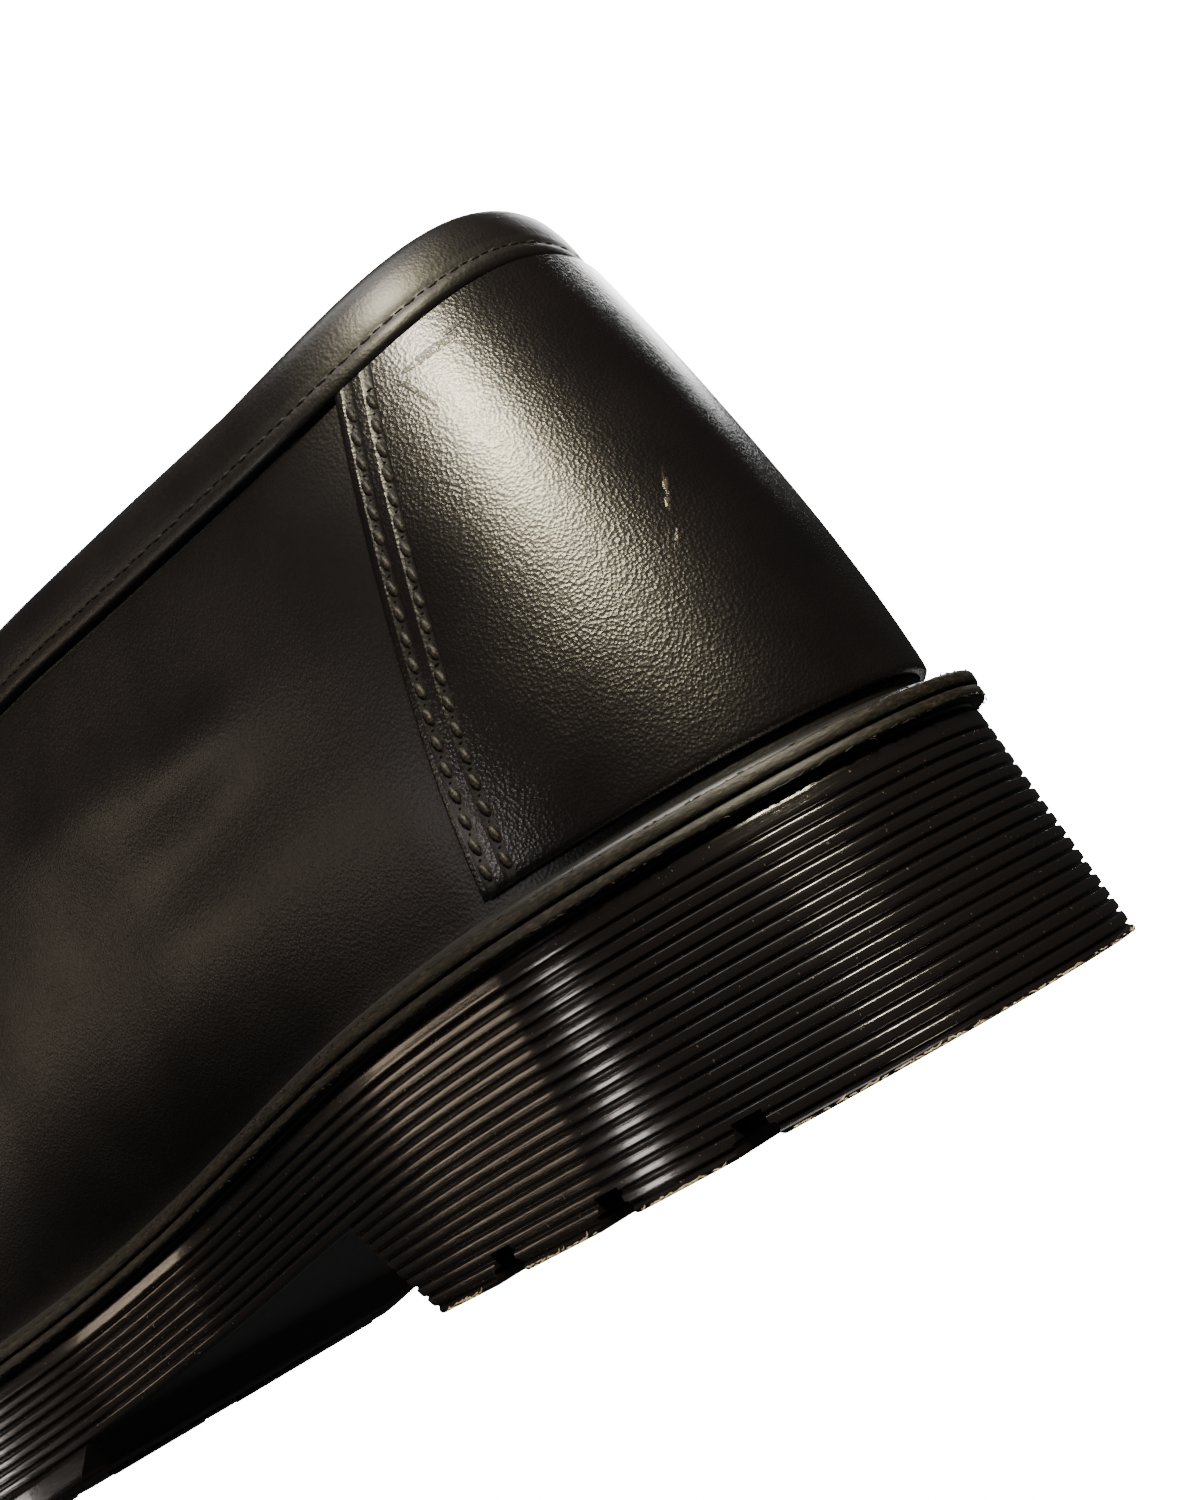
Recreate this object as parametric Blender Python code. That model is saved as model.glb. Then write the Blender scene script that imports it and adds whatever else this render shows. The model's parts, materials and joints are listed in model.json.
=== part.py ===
"""A right loafer of smooth black leather on a ribbed rubber sole, as separate closed solids.

Lengths in the tables are millimetres. Before the last step x runs from the back of the heel
to the toe, +y is the inner (medial) side, and z is the height over the floor. Curved pieces
that touch keep a gap of SEAT between them.
"""
import math

import bmesh
import bpy
import numpy as np

MM = 0.001
SEAT = 0.3

STEPS = (8, 14, 9)          # points of a quarter of the heel, of a side, of a quarter of the toe

# ---- plan of the sole, seen from above -------------------------------------------------
SOLE_LENGTH = 300.0
HEEL_CENTRE = 48.0          # where the round of the heel starts
HEEL_HALF_WIDTH = 34.4
HEEL_ROUND = 1.95           # exponent of the heel's round: 2 is an ellipse
TOE_Y = -4.0                # the toe's tip lies off the heel's centre line
TOE_ROUND = 2.1
# x, medial edge, lateral edge: the waist is hollow on the medial side
SOLE_SIDES = (
    (48.0, 34.4, -34.4),
    (70.0, 32.6, -33.6),
    (92.0, 29.4, -32.9),
    (110.0, 26.4, -34.2),
    (128.0, 24.8, -37.4),
    (146.0, 25.4, -41.8),
    (166.0, 30.2, -47.8),
    (188.0, 38.8, -53.2),
    (205.0, 44.8, -55.8),
    (222.0, 47.4, -56.4),
)
TOE_START = 222.0           # where the round of the toe starts

# ---- heights along the sole ------------------------------------------------------------
HEEL_HEIGHT = 33.0
# x, top of the welt
SOLE_TOP = (
    (0.0, 33.0), (48.0, 33.0), (72.0, 32.3), (100.0, 29.9), (130.0, 26.7), (160.0, 23.7),
    (190.0, 21.6), (215.0, 21.0), (240.0, 21.7), (265.0, 24.0), (285.0, 26.8), (300.0, 29.2),
)
# x, floor side of the forefoot tread: flat under the ball, then toe spring
TREAD = (
    (160.0, 2.2), (172.0, 0.7), (184.0, 0.0), (228.0, 0.0), (250.0, 1.7), (275.0, 5.0), (300.0, 9.2),
)
TREAD_DEPTH = 3.3
FOREFOOT_START = 162.0
BREAST_AT_FLOOR = 77.5      # front wall of the heel, which leans forward going up
BREAST_LEAN = 0.8           # millimetres forward for each one up

# ---- side of the sole, measured down from the top of the welt --------------------------
PITCH = 1.6                 # one rib of the side
WELT_THICKNESS = 1.6
LIP_TOP = WELT_THICKNESS + SEAT
LIP_BOTTOM = 2 * PITCH
FIRST_GROOVE = 4 * PITCH
LONG_GROOVES = 7            # these run the whole way round, the rest only round the heel
LAYER_BOTTOM = FIRST_GROOVE + LONG_GROOVES * PITCH
HEEL_GROOVES = 9
GROOVE_DEPTH = 0.55
SIDE_INSET = 1.3            # the ribbed wall stands in from the lip
HEEL_FLARE = 2.1            # and comes out again towards the floor at the heel

# ---- upper -----------------------------------------------------------------------------
WALL = 2.2                  # leather and lining
BEAD = 1.1                  # height of the welt's bead beside the upper
CLEAR_BEAD = 1.5            # up to here the upper stands straight
UPPER_TOE = 296.0
# x, how far the upper stands in from the lip, swell over its foot (medial, lateral), fullness
UPPER_SECTIONS = (
    (0.0, 5.6, 0.3, 0.3, 1.25),
    (20.0, 4.0, 1.0, 1.0, 1.70),
    (48.0, 3.3, 1.8, 1.8, 2.20),
    (75.0, 3.4, 3.2, 2.2, 2.20),
    (100.0, 3.6, 6.0, 2.6, 2.10),
    (125.0, 3.8, 7.6, 2.8, 2.00),
    (150.0, 4.0, 6.4, 2.8, 1.95),
    (180.0, 4.4, 4.0, 2.6, 2.05),
    (210.0, 4.6, 2.8, 2.4, 2.15),
    (260.0, 4.6, 2.0, 2.0, 2.40),
    (300.0, 4.4, 1.6, 1.6, 2.40),
)
TUCK = 0.32                 # share of the height over which the swell comes in to the foot
# x, side shift of the ridge of the instep, its height
RIDGE = (
    (0.0, 0.0, 105.0), (120.0, 0.0, 105.0), (152.0, 1.0, 104.6), (172.0, 3.0, 94.5), (192.0, 4.5, 84.0),
    (212.0, 4.5, 75.0), (232.0, 3.0, 67.6), (252.0, 0.5, 62.4), (272.0, -2.0, 59.4), (300.0, -4.0, 58.0),
)
TOE_CURL_START = 250.0      # from here the ridge rounds down to the tip
TOE_CURL = 2.5
# collar: x, medial edge, lateral edge, height
COLLAR_BACK = 19.0
COLLAR_FRONT = 152.0
COLLAR_FRONT_START = 112.0
COLLAR_SIDES = (
    (48.0, 27.2, -27.2, 100.0),
    (72.0, 28.3, -28.8, 100.6),
    (94.0, 27.4, -28.6, 101.8),
    (112.0, 25.6, -27.2, 102.8),
    (152.0, 25.6, -27.2, 104.6),
)
COLLAR_HEIGHT_BACK = 108.0  # the back of the collar rises
COLLAR_ROUND = 2.1
THROAT_ROUND = 2.05
BAND = 9.4                  # width of the folded band round the collar
BAND_OUT = 1.1
BAND_IN = WALL + 0.4
BAND_GAP = 0.6              # between the band's lower edge and the upper
# the band's section: how far down from the collar's edge, how far out from the upper
BAND_SECTION = (
    (BAND, BAND_OUT - 0.5), (BAND - 0.8, BAND_OUT), (1.6, BAND_OUT), (0.4, BAND_OUT - 0.9),
    (0.0, (BAND_OUT - BAND_IN) / 2), (0.4, 0.9 - BAND_IN), (1.6, -BAND_IN), (BAND, -BAND_IN),
)
COUNTER = 1.2               # leather of the heel counter
COUNTER_GAP = 0.45          # between the counter and the upper, whose facets it crosses
COUNTER_STEPS, COUNTER_ROWS = 26, 8
COUNTER_FOOT = 2.6          # its lower edge over the foot of the upper
COUNTER_SEAM_FOOT = 45.0    # its front edge at the welt
COUNTER_SEAM_LEAN = 0.19    # millimetres back for each one up
# way back from the toe's tip along the foot, share of the column where the apron's raised seam
# runs on the medial and the lateral side: it dies out under the collar's band
APRON = (
    (0.0, 0.285, 0.285), (28.0, 0.305, 0.310), (48.0, 0.345, 0.380),
    (72.0, 0.400, 0.490), (99.0, 0.500, 0.620), (123.0, 0.620, 0.730),
    (147.0, 0.750, 0.820), (170.0, 0.885, 0.905), (190.0, 0.960, 0.970),
)
APRON_RIDGE = 1.3           # height of the raised seam
APRON_REACH = 2.4           # and how far it spreads to each side
# levels of the upper's outside as shares of the way to the seam, then from the seam to the band
BELOW_SEAM = (0.10, 0.22, 0.38, 0.56, 0.76)
ABOVE_SEAM = (0.30, 0.65)
INSIDE_LEVELS = (1.0, 0.8, 0.58, 0.36, 0.16, 0.0)
INSOLE = 3.0
INSOLE_BEVEL = 0.6
INSOLE_NARROWS = 0.012      # it stands further in from the upper towards the tip of the toe


# ---- curves ----------------------------------------------------------------------------
def read(table, x, column=1):
    """Value of a table's column at x, by a smooth curve through its rows."""
    xs = np.array([row[0] for row in table])
    ys = np.array([row[column] for row in table])
    step = np.diff(xs)
    slope = np.diff(ys) / step
    tangent = np.concatenate([[slope[0]], (slope[:-1] + slope[1:]) / 2, [slope[-1]]])
    flat = np.concatenate([[False], slope[:-1] * slope[1:] <= 0, [False]])
    tangent[flat] = 0.0
    x = np.clip(np.asarray(x, float), xs[0], xs[-1])
    i = np.clip(np.searchsorted(xs, x, side="right") - 1, 0, len(step) - 1)
    t = (x - xs[i]) / step[i]
    return (ys[i] * (1 + 2 * t) * (1 - t) ** 2 + tangent[i] * step[i] * t * (1 - t) ** 2
            + ys[i + 1] * t * t * (3 - 2 * t) + tangent[i + 1] * step[i] * t * t * (t - 1))


def quarter(steps, exponent, ending=False):
    """Points of a rounded quarter, from (1, 0) to (0, 1), without its last point unless ending."""
    angle = np.linspace(0, math.pi / 2, steps + 1)
    if not ending:
        angle = angle[:-1]
    return np.abs(np.cos(angle)) ** (2 / exponent), np.abs(np.sin(angle)) ** (2 / exponent)


def half_plan(side, heel_steps, side_steps, toe_steps):
    """One side of the sole's plan, from the back of the heel to just before the toe's tip."""
    column = 1 if side > 0 else 2
    back, out = quarter(heel_steps, HEEL_ROUND)
    heel = np.stack([HEEL_CENTRE * (1 - back), side * HEEL_HALF_WIDTH * out], 1)
    xs = np.linspace(HEEL_CENTRE, TOE_START, side_steps + 1)[:-1]
    flank = np.stack([xs, read(SOLE_SIDES, xs, column)], 1)
    out, ahead = quarter(toe_steps, TOE_ROUND)
    half = read(SOLE_SIDES, TOE_START, column) - TOE_Y
    toe = np.stack([TOE_START + (SOLE_LENGTH - TOE_START) * ahead, TOE_Y + half * out], 1)
    return np.concatenate([heel, flank, toe])


def sole_plan(heel_steps, side_steps, toe_steps):
    """The closed plan and its outward normals: back of the heel, medial side, toe, lateral side."""
    medial = half_plan(1, heel_steps, side_steps, toe_steps)
    lateral = half_plan(-1, heel_steps, side_steps, toe_steps)
    plan = np.concatenate([medial, [[SOLE_LENGTH, TOE_Y]], lateral[:0:-1]])
    ahead = np.roll(plan, -1, 0) - np.roll(plan, 1, 0)
    normal = np.stack([-ahead[:, 1], ahead[:, 0]], 1)
    return plan, normal / np.linalg.norm(normal, axis=1)[:, None]


def wall_inset(depth, x):
    """How far the ribbed side stands in from the lip, at a depth below the top of the welt."""
    down = np.clip((depth - FIRST_GROOVE) / (HEEL_HEIGHT - FIRST_GROOVE), 0, 1)
    heel = np.clip((110 - x) / 30, 0, 1)
    return SIDE_INSET - HEEL_FLARE * down * heel - 0.3 * down * (1 - heel)


# ---- meshes ----------------------------------------------------------------------------
def material(name, colour, roughness):
    """A plain finish for one sub-part."""
    made = bpy.data.materials.new(name)
    made.use_nodes = True
    shader = made.node_tree.nodes["Principled BSDF"]
    shader.inputs["Base Color"].default_value = (*colour, 1)
    shader.inputs["Roughness"].default_value = roughness
    shader.inputs["Metallic"].default_value = 0.0
    return made


def add_object(name, verts, faces, finish, collection, smooth=True):
    """A mesh object in metres with its faces pointing out."""
    mesh = bpy.data.meshes.new(name)
    work = bmesh.new()
    points = [work.verts.new([c * MM for c in v]) for v in verts]
    for face in faces:
        work.faces.new([points[i] for i in face])
    bmesh.ops.recalc_face_normals(work, faces=work.faces)
    work.to_mesh(mesh)
    work.free()
    if smooth:
        mesh.shade_smooth()
        mesh.set_sharp_from_angle(angle=math.radians(35))
    made = bpy.data.objects.new(name, mesh)
    if finish:
        mesh.materials.append(finish)
    collection.objects.link(made)
    return made


def ladder(ring):
    """Faces that close a ring whose halves run from its first point to its opposite one."""
    count = len(ring)
    faces = [(ring[0], ring[1], ring[-1])]
    for i in range(1, count // 2 - 1):
        faces.append((ring[i], ring[i + 1], ring[count - i - 1], ring[count - i]))
    faces.append((ring[count // 2 - 1], ring[count // 2], ring[count // 2 + 1]))
    return faces


def stack(rows):
    """Vertices of rings laid over each other, and the faces between them."""
    count = len(rows[0])
    verts = [tuple(p) for row in rows for p in row]
    faces = []
    for k in range(len(rows) - 1):
        low, high = k * count, (k + 1) * count
        for i in range(count):
            j = (i + 1) % count
            faces.append((low + i, low + j, high + j, high + i))
    return verts, faces


def closed_stack(rows):
    """A solid of rings whose first and last rings are closed by ladders."""
    verts, faces = stack(rows)
    count = len(rows[0])
    last = (len(rows) - 1) * count
    return verts, faces + ladder(list(range(count))) + ladder(list(range(last, last + count)))


def ring_stack(rows):
    """A solid whose last ring joins its first one, such as a band."""
    verts, faces = stack(rows)
    count = len(rows[0])
    last = (len(rows) - 1) * count
    for i in range(count):
        j = (i + 1) % count
        faces.append((last + i, last + j, j, i))
    return verts, faces


def boolean(target, other, operation):
    """Join or cut with another object, which goes to the cutters."""
    step = target.modifiers.new(other.name, "BOOLEAN")
    step.operation = operation
    step.object = other
    step.solver = "EXACT"


# ---- sole ------------------------------------------------------------------------------
def side_row(plan, normal, depth, inset, tops):
    """One ring of the sole's side."""
    xy = plan - normal * np.asarray(inset).reshape(-1, 1)
    return np.column_stack([xy, tops - depth])


def groove_rows(plan, normal, tops, first, count):
    """Rings of a run of ribs: the bottom of each groove, then the crest of the rib under it."""
    rows = []
    for k in range(count):
        groove = first + k * PITCH
        for depth, cut in ((groove, GROOVE_DEPTH), (groove + PITCH / 2, 0.0)):
            rows.append(side_row(plan, normal, depth, wall_inset(depth, plan[:, 0]) + cut, tops))
    return rows


def sole_layer(finish, parts):
    """The long layer of the sole: lip, smooth band and the ribs that run all the way round."""
    plan, normal = sole_plan(*STEPS)
    tops = read(SOLE_TOP, plan[:, 0])
    x = plan[:, 0]
    rows = [
        side_row(plan, normal, LIP_TOP, 0.0 * x, tops),
        side_row(plan, normal, LIP_BOTTOM, 0.0 * x, tops),
        side_row(plan, normal, LIP_BOTTOM + 0.3, SIDE_INSET + 0.6 + 0.0 * x, tops),
        side_row(plan, normal, 3 * PITCH, SIDE_INSET + 0.2 + 0.0 * x, tops),
        side_row(plan, normal, FIRST_GROOVE - 0.25, SIDE_INSET + 0.0 * x, tops),
    ]
    rows += groove_rows(plan, normal, tops, FIRST_GROOVE, LONG_GROOVES)
    rows.append(side_row(plan, normal, LAYER_BOTTOM, wall_inset(LAYER_BOTTOM, x) + GROOVE_DEPTH, tops))
    verts, faces = closed_stack(rows)
    return add_object("outsole", verts, faces, finish, parts)


def end_block(name, centre, reach, rings, cut_x, cut_normal, cutters):
    """A solid under one end of the sole, cut off by a slanted plane and set up into the layer.

    The ring round the end has its tip at centre and reach points on each side of it.
    """
    count = 2 * reach + 1
    rows = [ring[np.arange(centre - reach, centre + reach + 1)] for ring in rings]
    verts, faces = stack(rows)
    for start in (0, (len(rows) - 1) * count):
        middle = start + reach
        faces.append((middle - 1, middle, middle + 1))
        for i in range(1, reach):
            faces.append((middle - i, middle + i, middle + i + 1, middle - i - 1))
    block = add_object(name, verts, faces, None, cutters)
    shape = bmesh.new()
    shape.from_mesh(block.data)
    cut = bmesh.ops.bisect_plane(shape, geom=shape.verts[:] + shape.edges[:] + shape.faces[:],
                                 plane_co=(cut_x * MM, 0, 0), plane_no=cut_normal, clear_outer=True)
    edges = [e for e in cut["geom_cut"] if isinstance(e, bmesh.types.BMEdge)]
    bmesh.ops.contextual_create(shape, geom=edges)
    bmesh.ops.recalc_face_normals(shape, faces=shape.faces)
    shape.to_mesh(block.data)
    shape.free()
    return block


def heel_block(cutters):
    """The ribbed block under the heel."""
    plan, normal = sole_plan(*STEPS)
    x = plan[:, 0]
    scale = (read(SOLE_TOP, x) - LAYER_BOTTOM) / (HEEL_HEIGHT - LAYER_BOTTOM)

    def ring(depth, inset):
        return np.column_stack([plan - normal * inset.reshape(-1, 1), (HEEL_HEIGHT - depth) * scale])

    rings = [ring(LAYER_BOTTOM - 1.0, wall_inset(LAYER_BOTTOM, x) + 1.4),
             ring(LAYER_BOTTOM, wall_inset(LAYER_BOTTOM, x) + GROOVE_DEPTH + 0.1)]
    for k in range(HEEL_GROOVES):
        crest = LAYER_BOTTOM + (k + 0.5) * PITCH
        rings.append(ring(crest, wall_inset(crest, x)))
        rings.append(ring(crest + PITCH / 2, wall_inset(crest, x) + GROOVE_DEPTH))
    rings.append(ring(HEEL_HEIGHT - 0.35, wall_inset(HEEL_HEIGHT, x)))
    rings.append(ring(HEEL_HEIGHT, wall_inset(HEEL_HEIGHT, x)))
    return end_block("heel_block", 0, 14, rings, BREAST_AT_FLOOR, (1, 0, -BREAST_LEAN), cutters)


def forefoot_block(cutters):
    """The tread under the forefoot."""
    plan, normal = sole_plan(*STEPS)
    x = plan[:, 0]
    base = read(SOLE_TOP, x) - LAYER_BOTTOM
    floor = read(TREAD, x)
    inset = wall_inset(LAYER_BOTTOM, x)
    levels = (
        (base + 1.0, inset + 1.4),
        (base, inset + GROOVE_DEPTH + 0.1),
        (base - 0.6, inset),
        (floor + 0.4, inset - 0.2),
        (floor, inset + 0.2),
    )
    rings = [np.column_stack([plan - normal * cut.reshape(-1, 1), z]) for z, cut in levels]
    return end_block("forefoot_block", len(plan) // 2, 15, rings, FOREFOOT_START, (-1, 0, -0.8), cutters)


# ---- tread: rows of lugs across the sole, joined to a border -----------------------------
LUG_PITCH = 8.9
LUG_WIDTH = 4.1
LUG_POINT = 2.0             # length of a lug's pointed end
CHANNEL_SPACING = 26.0      # the lengthwise channels
CHANNEL_HALF = 3.0
HEEL_FIRST_LUG = 22.0
HEEL_LUG_ROWS = 7
HEEL_BORDER = 25.0          # half width inside the heel's border
FOREFOOT_FIRST_LUG = 171.0
FOREFOOT_LUG_ROWS = 12
FOREFOOT_BORDER = 11.0      # the border's width there
PAST_SIDE = 75.0


def recess(rows, first_gap, last_gap):
    """Outline of the hollow round the lugs, and the outlines of the free-standing lugs.

    Each row is (start, channels, inner border on both sides, open gap after it or not).
    """
    sides = {1: [], -1: []}
    islands = []
    for start, channels, medial, lateral, is_open in rows:
        end = start + LUG_WIDTH
        middle = (start + end) / 2
        for side in (1, -1):
            outer = (max(channels) if side > 0 else min(channels)) + side * CHANNEL_HALF
            border = medial if side > 0 else lateral
            gap = side * PAST_SIDE if is_open else border
            point = outer + side * LUG_POINT
            sides[side] += [(start, point), (middle, outer), (end, point)]
            sides[side] += [(end, gap), (start + LUG_PITCH, gap)]
        for low, high in zip(channels[:-1], channels[1:]):
            left, right = low + CHANNEL_HALF, high - CHANNEL_HALF
            islands.append([(start, left + LUG_POINT), (middle, left), (end, left + LUG_POINT),
                            (end, right - LUG_POINT), (middle, right), (start, right - LUG_POINT)])
    outline = first_gap + sides[1] + last_gap + sides[-1][::-1]
    return outline, islands


def recess_cutter(name, outline, islands, roof, cutters):
    """A cutter for the hollows: a flat outline with holes, extruded, its roof set from x."""
    flat = bpy.data.curves.new(name, "CURVE")
    flat.dimensions = "2D"
    flat.fill_mode = "BOTH"
    flat.extrude = 0.5
    for loop in [outline] + islands:
        spline = flat.splines.new("POLY")
        spline.points.add(len(loop) - 1)
        for point, (x, y) in zip(spline.points, loop):
            point.co = (x, y, 0, 1)
        spline.use_cyclic_u = True
    made = bpy.data.objects.new(name, flat)
    cutters.objects.link(made)
    mesh = bpy.data.meshes.new_from_object(made.evaluated_get(bpy.context.evaluated_depsgraph_get()))
    bpy.data.objects.remove(made)
    shape = bmesh.new()
    shape.from_mesh(mesh)
    bmesh.ops.remove_doubles(shape, verts=shape.verts, dist=0.0001)
    bmesh.ops.beautify_fill(shape, faces=shape.faces, edges=shape.edges)
    for v in shape.verts:
        v.co.z = roof(v.co.x) if v.co.z > 0 else -5.0
        v.co *= MM
    bmesh.ops.recalc_face_normals(shape, faces=shape.faces)
    shape.to_mesh(mesh)
    shape.free()
    cutter = bpy.data.objects.new(name, mesh)
    cutters.objects.link(cutter)
    return cutter


def heel_tread(cutters):
    """Hollows of the heel: an arc behind the first row, open gaps behind every other row."""
    half = CHANNEL_SPACING / 2
    rows = []
    for k in range(HEEL_LUG_ROWS):
        start = HEEL_FIRST_LUG + k * LUG_PITCH
        rows.append((start, (-half, half), HEEL_BORDER, -HEEL_BORDER, k % 2 == 0 and k < HEEL_LUG_ROWS - 1))
    arc = [(14.6 + 0.0095 * y * y, y) for y in (-20.0, -15.0, -10.0, -5.0, 0.0, 5.0, 10.0, 15.0, 20.0)]
    front = BREAST_AT_FLOOR + 20
    last = [(front, HEEL_BORDER), (front, -HEEL_BORDER)]
    outline, islands = recess(rows, arc, last)
    return recess_cutter("heel_hollows", outline, islands, lambda x: TREAD_DEPTH, cutters)


def forefoot_tread(cutters):
    """Hollows of the forefoot, with as many lugs across as its width holds."""
    plan, normal = sole_plan(30, 60, 40)
    inner = plan - normal * FOREFOOT_BORDER
    tip = len(plan) // 2
    rows = []
    for k in range(FOREFOOT_LUG_ROWS):
        start = FOREFOOT_FIRST_LUG + k * LUG_PITCH
        x = start + LUG_PITCH * 0.75
        medial = float(np.interp(x, inner[:tip, 0], inner[:tip, 1]))
        lateral = float(np.interp(x, inner[:tip:-1, 0], inner[:tip:-1, 1]))
        centre = TOE_Y / 2
        places = [centre + (j + 0.5) * CHANNEL_SPACING for j in range(-2, 2)]
        channels = tuple(c for c in places if lateral + 6 < c < medial - 6)
        if len(channels) < 2:
            break
        rows.append((start, channels, medial, lateral, k % 2 == 0))
    start = rows[0][0] - LUG_PITCH + LUG_WIDTH
    first = [(start, rows[0][3]), (start, rows[0][2])]
    outline, islands = recess(rows, first, [])
    return recess_cutter("forefoot_hollows", outline, islands,
                         lambda x: float(read(TREAD, x)) + TREAD_DEPTH, cutters)


def welt(finish, parts):
    """The strip between the upper and the edge: flat edge, then a raised bead beside the upper."""
    plan, normal = sole_plan(*STEPS)
    x = plan[:, 0]
    tops = read(SOLE_TOP, x)
    inner = read(UPPER_SECTIONS, x) - 2 * SEAT
    section = (
        (WELT_THICKNESS, inner), (WELT_THICKNESS, 0.0 * x), (0.3, 0.0 * x), (0.0, 0.3 + 0.0 * x),
        (0.0, inner - 2.2), (-BEAD, inner - 1.5), (-BEAD, inner),
    )
    rows = [side_row(plan, normal, depth, inset, tops) for depth, inset in section]
    verts, faces = ring_stack(rows)
    return add_object("welt", verts, faces, finish, parts)


# ---- upper -----------------------------------------------------------------------------
def collar_half(side, heel_steps, rest):
    """One side of the collar's line: the heel's part by angle, the rest by even lengths."""
    column = 1 if side > 0 else 2
    back, out = quarter(heel_steps, COLLAR_ROUND)
    wide = side * COLLAR_SIDES[0][1]
    heel = np.stack([HEEL_CENTRE - (HEEL_CENTRE - COLLAR_BACK) * back, wide * out,
                     COLLAR_HEIGHT_BACK + (COLLAR_SIDES[0][3] - COLLAR_HEIGHT_BACK) * out ** 2], 1)
    xs = np.linspace(HEEL_CENTRE, COLLAR_FRONT_START, 60)[:-1]
    flank = np.stack([xs, read(COLLAR_SIDES, xs, column), read(COLLAR_SIDES, xs, 3)], 1)
    out, ahead = quarter(60, THROAT_ROUND, True)
    middle = float(read(RIDGE, COLLAR_FRONT, 1))
    half = float(read(COLLAR_SIDES, COLLAR_FRONT_START, column)) - middle
    xs = COLLAR_FRONT_START + (COLLAR_FRONT - COLLAR_FRONT_START) * ahead
    front = np.stack([xs, middle + half * out, read(COLLAR_SIDES, xs, 3)], 1)
    line = np.concatenate([flank, front])
    run = np.concatenate([[0], np.cumsum(np.linalg.norm(np.diff(line, axis=0), axis=1))])
    at = run[-1] * rest
    return heel, np.stack([np.interp(at, run, line[:, k]) for k in range(3)], 1)


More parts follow.
